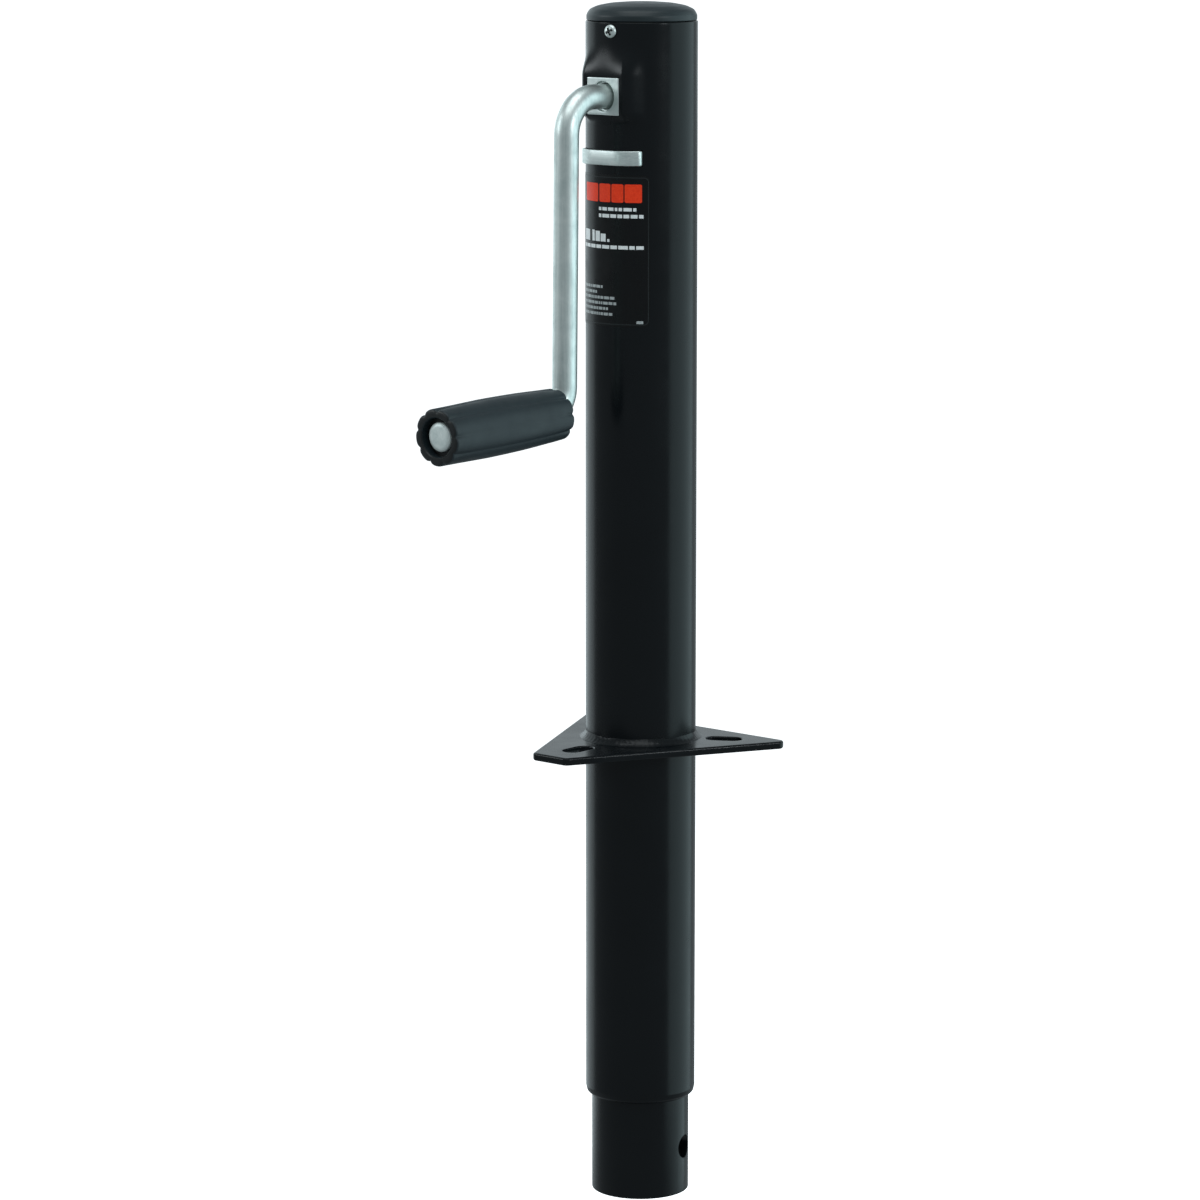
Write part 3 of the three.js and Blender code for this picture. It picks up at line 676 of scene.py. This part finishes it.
def weld_bead():
    """A fillet round the tube, with fine ripples and legs that wander slowly."""
    steps, around, knot_count, ripples = 9, 900, 24, 66
    leg, wander_size, gap, sunk = 3.4, 0.2, 0.02, 0.3
    base = TUBE_RADIUS - 0.4
    knots = np.random.default_rng(5).normal(0, 1, (2, knot_count))

    def wander(row, share):
        place = share * knot_count
        i = int(place) % knot_count
        t = ease(place - int(place))
        return knots[row][i] * (1 - t) + knots[row][(i + 1) % knot_count] * t

    vertices = []
    for k in range(around):
        share = k / around
        angle = TAU * share
        leg_out = leg + wander_size * wander(0, share)
        leg_up = leg + wander_size * wander(1, share)
        section = []
        for j in range(steps + 1):
            t = j / steps
            lag = 0.9 * (1 - (2 * t - 1) ** 2)
            ripple = 0.5 + 0.5 * math.cos(angle * ripples - lag * 2.2)
            bulge = math.sin(math.pi * t) * (0.05 * ripple - 0.42)
            out = leg_out * (1 - t) + bulge * 0.7
            up = leg_up * t + bulge * 0.7
            r = TUBE_RADIUS + (out if t < 1 else 0) + gap
            section.append((r, FLANGE_THICKNESS + up + gap))
        section.append((base, FLANGE_THICKNESS + leg_up))
        section.append((base, FLANGE_THICKNESS - sunk))
        section.append((TUBE_RADIUS + leg_out, FLANGE_THICKNESS - sunk))
        vertices += [(r * math.cos(angle), r * math.sin(angle), h) for r, h in section]
    return new_object("flange_weld_bead", vertices, grid_faces(around, steps + 4, True, True), 60)


piece(mounting_flange(), "jack_body", "black_paint", PAINT, "mounting_flange")
piece(weld_bead(), "jack_body", "black_paint", PAINT, "flange_weld")


# ---------- Cap and cap screws ----------


def top_cap():
    rim = TUBE_TOP + 0.3
    outline = [
        (0, rim + 9.3, 0),
        (8, rim + 9.15, 30),
        (16, rim + 8.55, 30),
        (22.6, rim + 7.3, 14),
        (26.7, rim + 5.4, 4),
        (28.2, rim + 2.6, 2.4),
        (28.15, rim, 0.5),
        (25.3, rim, 0.2),
        (25.3, rim - 15, 0.6),
        (21.5, rim - 15, 0.6),
        (21.5, rim + 3, 1.5),
        (0, rim + 3, 0),
    ]
    made = clean(lathe("cap_dome", filleted(outline, steps=7), 144, closed=False), 40)
    cutters = [
        move(bar("screw_way", 1.9, 18, 28, 24), towards(azimuth, CAP_SCREW_HEIGHT))
        for azimuth in CAP_SCREW_AZIMUTHS
    ]
    return cut(made, *cutters, sharp_angle=40)


def pan_screw(name, azimuth):
    """A pan head screw whose cross recess has faces painted dark as shade, along a radius of the tube.
    """
    profile = filleted(
        [
            (0, 30.75, 0),
            (1.4, 30.68, 3),
            (2.7, 30.2, 1.6),
            (3.35, 29.4, 0.5),
            (3.35, 28.8, 0.25),
            (1.6, 28.8, 0.1),
            (1.6, 21.2, 0.3),
            (0, 20.4, 0),
        ]
    )
    made = clean(lathe(name, profile, 64, closed=False))
    arms = []
    for k in range(2):
        arm = rounded_block(name + "_arm", (-2.15, -0.62, 29.1), (2.15, 0.62, 32), 0.15, 2)
        arms.append(move(arm, turn(24 + 90 * k, "Z")))
    core_profile = [(0, 28.9), (0.5, 29.2), (1.05, 32), (0, 32)]
    core = clean(lathe(name + "_core", core_profile, 24, closed=False))
    cut(made, *arms, core, sharp_angle=30)
    made.data.materials.append(ZINC_MILLED)
    made.data.materials.append(RECESS_PAINTED_SHADE)
    # Faces inside the cross recess take the near-black painted shade.
    for polygon in made.data.polygons:
        x, y, z = polygon.center / MM
        level = polygon.normal.z > 0.95 and z < 30.0
        if math.hypot(x, y) < 2.4 and z > 28.9 and (level or abs(polygon.normal.z) < 0.5):
            polygon.material_index = 1
    return move(made, towards(azimuth, CAP_SCREW_HEIGHT))


piece(top_cap(), "jack_body", "black_plastic", CAP_PLASTIC, "top_cap")
near, far = CAP_SCREW_AZIMUTHS
piece(pan_screw("cap_screw_near", near), "jack_body", "zinc", ZINC_MILLED, "cap_screw_front")
piece(pan_screw("cap_screw_far", far), "jack_body", "zinc", ZINC_MILLED, "cap_screw_rear")


# ---------- Bushes, ring and clip ----------


def front_bush():
    wide, tall = PLATE_HALF_WIDTH, PLATE_HALF_HEIGHT
    outline, recess = rectangle(-wide, wide, -tall, tall, 0.8), circle(7.5, 96, clockwise=True)
    sheet = plate("bush_plate", outline, [recess], 27.8, BOSS_FACE, 0.45, 0.35)
    corners = [(BUSH_BORE, 23.2, 0.3), (9, 23.2, 0.3), (9, 27.95, 0.1), (BUSH_BORE, 27.95, 0.3)]
    barrel = lathe("bush_barrel", filleted(corners, steps=4))
    return move(joined("crank_bush_square", sheet, barrel), towards(0, SHAFT_HEIGHT))


def rear_bush():
    corners = [
        (BUSH_BORE, 20, 0.3),
        (10, 20, 0.3),
        (10, 23, 0.3),
        (8, 23, 0.2),
        (8, 29.8, 0.4),
        (BUSH_BORE, 29.8, 0.3),
    ]
    return move(lathe("crank_bush_round", filleted(corners, steps=4)), towards(180, SHAFT_HEIGHT))


def push_ring():
    """A dished ring whose six teeth grip the spindle's rear end."""
    teeth, tooth_radius, root_radius = 6, 6.5, 7.9
    hole = []
    for k in range(teeth):
        middle = 360 * k / teeth
        for radius, sides in ((tooth_radius, (-22, -11, 0, 11, 22)), (root_radius, (25, 30, 35))):
            for side in sides:
                angle = math.radians(middle + side)
                hole.append((radius * math.cos(angle), radius * math.sin(angle)))
    made = plate("push_on_ring", circle(9.5, 96), [hole[::-1]], 0, 0.7, 0.2, 0.1, 3)
    for vertex in made.data.vertices:
        reach = math.hypot(vertex.co.x, vertex.co.y) / MM
        vertex.co.z += (0.55 * soft_ease((9.0 - reach) / 3.0) + 30.15) * MM
    return move(made, towards(180, SHAFT_HEIGHT))


def seat_clip():
    """A strip across the tube's front. Its ends turn in and pass through the tube's two slots."""
    width, thickness, face, flat_half, end_radius = 7.5, 1.4, 30.4, 12.0, 22.4
    middle = face - thickness / 2
    shoulder = face + 0.3 - thickness / 2
    left = [polar(radius, -CLIP_END_AZIMUTH) for radius in (end_radius, shoulder)]
    right = [polar(radius, CLIP_END_AZIMUTH) for radius in (shoulder, end_radius)]
    corners = [*left, (-flat_half, -middle), (flat_half, -middle), *right]
    path = arc_path(corners, [1.7, 16.0, 16.0, 1.7], 0.7, 12)
    tangent = unit_tangents(path)
    centres = [np.array([x, y, CLIP_HEIGHT]) for x, y in path]
    normals = [np.array([y, -x, 0.0]) for x, y in tangent]
    ups = [np.array([0, 0, 1.0])] * len(path)
    h, w = thickness / 2, width / 2
    section = filleted([(-h, -w, 0.3), (h, -w, 0.45), (h, w, 0.45), (-h, w, 0.3)], steps=4)
    crowned = [(u + (0.12 * (1 - (v / w) ** 2) if u > 0 else 0), v) for u, v in section]
    return swept("seat_spring_clip", centres, normals, ups, crowned)


piece(front_bush(), "jack_body", "zinc", ZINC_MILLED, "crank_bush_front")
piece(rear_bush(), "jack_body", "zinc", ZINC_MILLED, "crank_bush_rear")
piece(push_ring(), "crank", "zinc", ZINC_MILLED, "spindle_ring")
piece(seat_clip(), "jack_body", "zinc", ZINC_ACROSS, "seat_clip")


# ---------- Crank and grip ----------

ARM_TOP = (57.2, SHAFT_HEIGHT)
ARM_BOTTOM = (59.3, 178.7)
GRIP_SLOPE = 2.1
GRIP_START = 66.0
GRIP_LENGTH = 87.8
GRIP_END_POCKET = 4.8
ROD_END = 149.2
SPINDLE_END = -33.0
FLUTES = 9
FLUTE_PHASE = math.radians(7)


def on_grip_axis(outward):
    """The grip's axis as (distance out from the tube's axis, height)."""
    return outward, ARM_BOTTOM[1] - (outward - ARM_BOTTOM[0]) * math.tan(math.radians(GRIP_SLOPE))


def crank_rod():
    """The bent rod: spindle, arm and grip end in one, with its rear edge chamfered."""
    corners = [(SPINDLE_END, SHAFT_HEIGHT), ARM_TOP, ARM_BOTTOM, on_grip_axis(ROD_END)]
    path = arc_path(corners, [19, 14], 3.0, 36)
    tangent = unit_tangents(path)
    chamfer = ((0.0, 0.9), (0.25, 0.45), (0.6, 0.2), (1.2, 0.0))
    centres = [path[0] + tangent[0] * inset for inset, _ in chamfer] + list(path[1:])
    headings = [tangent[0]] * len(chamfer) + list(tangent[1:])
    radii = [ROD_RADIUS - cut_back for _, cut_back in chamfer] + [ROD_RADIUS] * (len(path) - 1)
    spine = [np.array([0.0, -c[0], c[1]]) for c in centres]
    out = [np.array([0.0, -t[1], -t[0]]) for t in headings]
    side = [np.array([1.0, 0.0, 0.0])] * len(spine)
    return swept("crank_bent_rod", spine, out, side, circle(1.0, 56), radii)


def along_grip(outward):
    distance, height = on_grip_axis(outward)
    return at(0, -distance, height) @ turn(90 + GRIP_SLOPE, "X")


def grip_sleeve():
    """The barrel-shaped sleeve, whose flutes deepen to its ends. Profile: radius, height, fluted."""
    bore = ROD_RADIUS + 0.4
    length = GRIP_LENGTH
    stations = (0, 5, 10, 19, 27, 37, 45, 54, 63, 72, 81, length)
    radii = (13.4, 13.6, 13.75, 14.15, 14.45, 14.65, 14.75, 14.8, 14.65, 14.5, 14.4, 14.4)
    edge_round, edge_drop = 1.3, 1.2
    pocket = length - GRIP_END_POCKET
    profile = [(bore + 3.4, 1.2, 0), (bore + 4.0, 0.0, 0), (11.3, 0.0, 0)]
    spans = ((0.0, 1.6, 7), (2.4, length - 3, 50), (length - 2.2, length, 9))
    for t in np.concatenate([np.linspace(*span) for span in spans]):
        radius = float(np.interp(t, stations, radii))
        near = min(t, length - t)
        if near < edge_round:
            radius -= edge_drop * (1 - math.sqrt(max(0.0, 1 - (1 - near / edge_round) ** 2)))
        profile.append((radius, float(t), 1))
    profile += [(11.6, length, 0.6), (10.5, length, 0), (10.0, length - 0.5, 0), (10.0, pocket, 0)]
    profile += [(bore, pocket, 0), (bore, 14, 0), (bore + 3.2, 11, 0)]
    sides = 252
    vertices = []
    for radius, height, fluted in profile:
        from_ends = min(height, length - height)
        depth = 0.24 + 1.0 * math.exp(-from_ends / 5.0)
        for k in range(sides):
            angle = TAU * k / sides
            lobe = abs(math.sin(FLUTES * (angle - FLUTE_PHASE) / 2))
            valley = math.exp(-((lobe / 0.42) ** 1.6))
            crown = 0.16 * (1 - lobe)
            r = radius - fluted * (depth * valley + crown)
            vertices.append((r * math.cos(angle), r * math.sin(angle), height))
    made = new_object("crank_grip_sleeve", vertices, grid_faces(len(profile), sides, True, True), 40)
    return move(made, along_grip(GRIP_START))


def grip_rivet():
    """The disc outside the grip's end, with its shank in the rod."""
    head, shank = 7.4, 2
    corners = [
        (0, 3.1, 0),
        (5.8, 2.8, 8),
        (head, 1.8, 1.0),
        (head, 0.3, 0.3),
        (shank, 0.3, 0.1),
        (shank, -11, 0.4),
        (0, -11, 0),
    ]
    made = clean(lathe("grip_end_rivet", filleted(corners, steps=6), 72, closed=False))
    return move(made, along_grip(ROD_END))


piece(crank_rod(), "crank", "zinc", ZINC_UPRIGHT, "crank_rod")
# The end disc's zinc is lightened as painted light.
piece(grip_rivet(), "crank", "zinc", ZINC_MATTE_PAINTED_LIGHT, "grip_rivet")
sleeve = piece(grip_sleeve(), "crank_grip", "black_plastic", GRIP_PLASTIC, "grip")
# The grip's end faces take the darker plastic as painted shade.
sleeve.data.materials.append(GRIP_END_PAINTED_SHADE)
for polygon in sleeve.data.polygons:
    if abs(polygon.normal.y) > 0.7:
        polygon.material_index = 1


# ---------- Leg ----------


def leg_tube():
    profile = filleted(
        [
            (LEG_BORE, LEG_BOTTOM, 0.5),
            (LEG_RADIUS, LEG_BOTTOM, 0.7),
            (LEG_RADIUS, LEG_TOP, 0.4),
            (LEG_BORE, LEG_TOP, 0.4),
        ],
        steps=5,
    )
    made = lathe("leg_tube", profile, 192)
    hole = move(bar("pin_way", 6.2, -30, 30, 64), towards(107, LEG_BOTTOM + 24.6))
    pins = move(bar("nut_pin_way", 2.9, -30, 30, 32), towards(90, LEG_TOP - 14))
    return cut(made, hole, pins, sharp_angle=32)


piece(leg_tube(), "leg", "black_paint", PAINT, "inner_tube")


# ---------- Lead screw with its left-hand thread ----------


def lead_screw():
    """A left-hand helix trimmed to length, joined to the plain collar and journal above it."""
    lead, crest, root = 5.08, 9.5, 7.6
    bottom, top = -148.8, 280.2
    collar_top, journal_top = 286.2, 327.2
    sides = 40
    phases = [(0.0, root), (0.32, root), (0.46, crest), (0.86, crest)]
    turns = int((top - bottom) / lead) + 2
    rows = [((k + phase) * lead, radius) for k in range(-1, turns) for phase, radius in phases]
    vertices = []
    for height, radius in rows:
        for j in range(sides + 1):
            angle = TAU * j / sides
            z = bottom + height - lead * j / sides
            vertices.append((radius * math.cos(angle), radius * math.sin(angle), z))
    # Each row's last column lies on the first column of the row a lead lower, so they merge.
    thread = raw_mesh("thread", vertices, grid_faces(len(rows), sides + 1, False, False))
    work = bmesh.new()
    work.from_mesh(thread)
    bmesh.ops.remove_doubles(work, verts=work.verts, dist=MERGE_DISTANCE)
    loose = [e for e in work.edges if e.is_boundary]
    bmesh.ops.holes_fill(work, edges=loose, sides=0)
    bmesh.ops.recalc_face_normals(work, faces=work.faces)
    work.to_mesh(thread)
    work.free()
    made = cut(add_object("screw_thread", thread), bar("keep", 12, bottom, top), operation="INTERSECT")
    corners = [
        (0, top - 1, 0),
        (15, top - 1, 0.5),
        (15, collar_top, 0.5),
        (7, collar_top, 0.3),
        (7, journal_top, 0.8),
        (0, journal_top, 0),
    ]
    shank = clean(lathe("screw_shank", filleted(corners, steps=3), 64, closed=False))
    return joined("lead_screw_threaded", made, shank)


piece(lead_screw(), "screw", "bright_steel", BRIGHT_STEEL, "lead_screw")


# ---------- Label ----------


def on_tube(arc, height, radius):
    """A point on a cylinder from the arc length off -Y, to the right of someone facing the crank."""
    angle = arc / TUBE_RADIUS
    return radius * math.sin(angle), -radius * math.cos(angle), height


def sheet_on_tube(name, outline, radius, thickness, spacing=1.1):
    """A thin closed sheet that follows the tube, from an anticlockwise outline of (arc, height)."""
    low, high = np.min(outline, 0), np.max(outline, 0)
    work = bmesh.new()
    top = [work.verts.new((x, y, 0)) for x, y in outline]
    work.faces.new(top)
    for x in np.arange(low[0] + spacing, high[0], spacing):
        geometry = work.verts[:] + work.edges[:] + work.faces[:]
        bmesh.ops.bisect_plane(work, geom=geometry, plane_co=(x, 0, 0), plane_no=(1, 0, 0))
    extruded = bmesh.ops.extrude_face_region(work, geom=work.faces[:])
    for item in extruded["geom"]:
        if isinstance(item, bmesh.types.BMVert):
            item.co.z = 1
    for vertex in work.verts:
        vertex.co = Vector(on_tube(vertex.co.x, vertex.co.y, radius + thickness * vertex.co.z)) * MM
    return place_mesh(name, mesh_from(work, name), 40)


LABEL_HALF_ARC = math.radians(49) * (TUBE_RADIUS + 0.3)
LABEL_THICKNESS = 0.14
LABEL_SKIN = TUBE_RADIUS + 0.02
INK_SKIN = LABEL_SKIN + LABEL_THICKNESS
INK_SUNK = 0.05


def border_line():
    """A thin line inside the label's edge, as a closed band between two outlines."""
    edge, line, longest_step = LABEL_HALF_ARC - 0.6, 0.42, 1.1
    outer = rectangle(-edge, edge, LABEL_BOTTOM + 1.1, LABEL_TOP - 1.1, 2.4, 8)
    inner = [tuple(p) for p in offset_outline(outer, line)]
    work = bmesh.new()
    rings = []
    for radius in (INK_SKIN - INK_SUNK, INK_SKIN + 0.03):
        for outline in (outer, inner):
            fine = []
            for here, after in zip(outline, outline[1:] + outline[:1]):
                across = abs(after[0] - here[0])
                parts = int(across / longest_step) if across > 3 else 1
                for k in range(parts):
                    t = k / parts
                    arc, height = (here[axis] + (after[axis] - here[axis]) * t for axis in (0, 1))
                    fine.append(work.verts.new([c * MM for c in on_tube(arc, height, radius)]))
            rings.append(fine)
    total = min(len(ring) for ring in rings)
    order = [rings[0], rings[1], rings[3], rings[2]]
    for first, second in zip(order, order[1:] + order[:1]):
        for j in range(total):
            k = (j + 1) % total
            work.faces.new((first[j], first[k], second[k], second[j]))
    return place_mesh("label_border_line", mesh_from(work, "label_border"))


def ink(name, material, boxes, radius=0.15):
    """Prints boxes of (left, right, bottom, top) on the label, as one piece."""
    parts = []
    for i, (left, right, bottom, top) in enumerate(boxes):
        outline = rectangle(left, right, bottom, top, min(radius, (top - bottom) / 2.2), 3)
        parts.append(sheet_on_tube(f"{name}_{i}", outline, INK_SKIN - INK_SUNK, 0.09, 1.0))
    piece(joined(name, *parts), "jack_body", "label", material)


def words(rng, left, right, bottom, top, shortest=1.4, longest=4.6, gap=0.7):
    """Boxes of random lengths that fill a line of print."""
    boxes, x = [], left
    while x < right - shortest:
        end = min(right, x + rng.uniform(shortest, longest))
        boxes.append((x, end, bottom, top))
        x = end + gap
    return boxes


def label_pieces():
    outline = rectangle(-LABEL_HALF_ARC, LABEL_HALF_ARC, LABEL_BOTTOM, LABEL_TOP, 3.0, 8)
    sheet = sheet_on_tube("label_sheet", outline, LABEL_SKIN, LABEL_THICKNESS)
    piece(sheet, "jack_body", "label", VINYL, "label")
    piece(border_line(), "jack_body", "label", INK_GREY)
    rng = np.random.default_rng(11)
    band = [(-17.3, -4.5), (-3.5, 3.8), (4.4, 11.1), (11.7, 20.6)]
    ink("label_ink_band", INK_RED, [(left, right, 283.3, 292.6) for left, right in band], 0.8)
    white = words(rng, -3.9, 19.3, 279.0, 280.7) + words(rng, -3.9, 22.7, 275.5, 277.3)
    white += [(-19.3, -12.3, 263.2, 268.8), (-9.6, -7.4, 263.2, 268.8), (-6.6, -3.2, 263.2, 268.4)]
    white += [(-2.6, 0.8, 263.2, 267.2), (1.8, 3.2, 263.2, 264.6)]
    white += words(rng, -19.5, 22.3, 259.7, 261.5, 2.2, 5.2)
    ink("label_ink_white_bars", INK_WHITE, white)
    small = []
    for k, right in enumerate((-0.9, -4.5, 6.3, 7.2, 2.4, 6.3)):
        level = 239.5 - 2.75 * k
        small += words(rng, -19.5, right, level, level + 1.4, 1.0, 3.4, 0.5)
    small.append((17.9, 21.3, 222.0, 223.4))
    ink("label_ink_small_lines", INK_PALE, small)


label_pieces()


# ---------- Pieces kept from the CAD model ----------

KEPT = {
    GEAR_STEEL: ("bearing_seat", "bevel_pinion", "bevel_gear", "drive_nut"),
    BRIGHT_STEEL: (
        "bearing_upper_race", "bearing_balls", "bearing_lower_race", "pinion_pin", "gear_pin",
        "gear_washer", "stop_washer", "stop_pin", "nut_pin_left", "nut_pin_right",
    ),
}
for material, names in KEPT.items():
    for name in names:
        node = frame["nodes"][name]
        node.data.materials.clear()
        node.data.materials.append(material)


# ---------- Floor, light and camera ----------

CAMERA_AZIMUTH = 40.8
CAMERA_DISTANCE = 2.3676
CAMERA_HEIGHT = 0.47226
CAMERA_PITCH = 9.5156
CAMERA_YAW = -0.5132
SENSOR = 36.0
CAMERA_LENS = SENSOR * 4633.19 / 1200
FLOOR_HALF = 40.0

# Name, turn from the camera's azimuth, distance, height, width, height of the panel, radiance,
# colour, and the height that it faces, in metres and degrees.
SOFTBOXES = (
    ("right_panel", 97, 2.2, 0.2, 3.2, 2.8, 1.2, (0.68, 0.92, 0.96), 0.1),
    ("left_panel", -140, 2.2, 0.3, 2.2, 2.6, 0.85, (0.82, 0.96, 1.0), 0.1),
    ("left_key", -84, 2.0, 0.95, 0.7, 0.6, 7.0, (0.90, 0.97, 1.0), 0.3),
    ("right_key", 47, 2.0, 0.85, 0.24, 0.5, 20.0, (0.90, 0.97, 1.0), 0.3),
    ("back_panel", 180, 2.8, 0.9, 3.2, 1.6, 0.45, (0.85, 0.96, 1.0), 0.1),
    ("top_panel", -20, 0.6, 2.1, 1.6, 1.6, 2.2, (0.92, 0.98, 1.0), 0.1),
)


def seen_from(azimuth, distance, height):
    return Vector((*polar(distance, azimuth), height))


def floor():
    """A pale floor, low enough for the leg at full travel. It casts no light on the jack."""
    n = Nodes("pale_floor")
    tone = n.noise(3, 4, 0.5)
    colour = n.ramp(tone, [(0.3, (0.90, 0.90, 0.90)), (0.7, (0.93, 0.93, 0.93))])
    material = n.finish(colour, Roughness=0.8, Emission_Color=(1, 1, 1, 1), Emission_Strength=0.82)
    mesh = bpy.data.meshes.new("floor")
    corners = [(x * FLOOR_HALF, y * FLOOR_HALF, 0) for x, y in ((-1, -1), (1, -1), (1, 1), (-1, 1))]
    mesh.from_pydata(corners, [], [(0, 1, 2, 3)])
    mesh.materials.append(material)
    made = add_object("floor", mesh)
    made.location.z = (LEG_BOTTOM - LEG_TRAVEL) * MM
    made.visible_glossy = False
    made.visible_diffuse = False


def world():
    made = bpy.data.worlds.new("studio")
    made.use_nodes = True
    background = made.node_tree.nodes["Background"]
    background.inputs["Color"].default_value = (0.84, 0.95, 1.0, 1)
    background.inputs["Strength"].default_value = 0.36
    bpy.context.scene.world = made


def softbox(name, from_camera, distance, height, width, tall, radiance, colour, aim):
    data = bpy.data.lights.new(name, "AREA")
    data.shape = "RECTANGLE"
    data.size, data.size_y = width, tall
    data.energy = radiance * math.pi * width * tall
    data.color = colour
    made = add_object(name, data)
    made.location = seen_from(CAMERA_AZIMUTH + from_camera, distance, height)
    made.rotation_mode = "QUATERNION"
    made.rotation_quaternion = (Vector((0, 0, aim)) - made.location).to_track_quat("-Z", "Y")
    made.visible_camera = False


def camera():
    data = bpy.data.cameras.new("camera")
    data.sensor_width = SENSOR
    data.lens = CAMERA_LENS
    made = add_object("camera", data)
    made.location = seen_from(CAMERA_AZIMUTH, CAMERA_DISTANCE, CAMERA_HEIGHT)
    heading = math.radians(CAMERA_AZIMUTH - CAMERA_YAW)
    made.rotation_euler = (math.radians(90 - CAMERA_PITCH), 0, heading)
    bpy.context.scene.camera = made


floor()
world()
for settings in SOFTBOXES:
    softbox(*settings)
camera()
bpy.context.scene.view_settings.view_transform = "Standard"
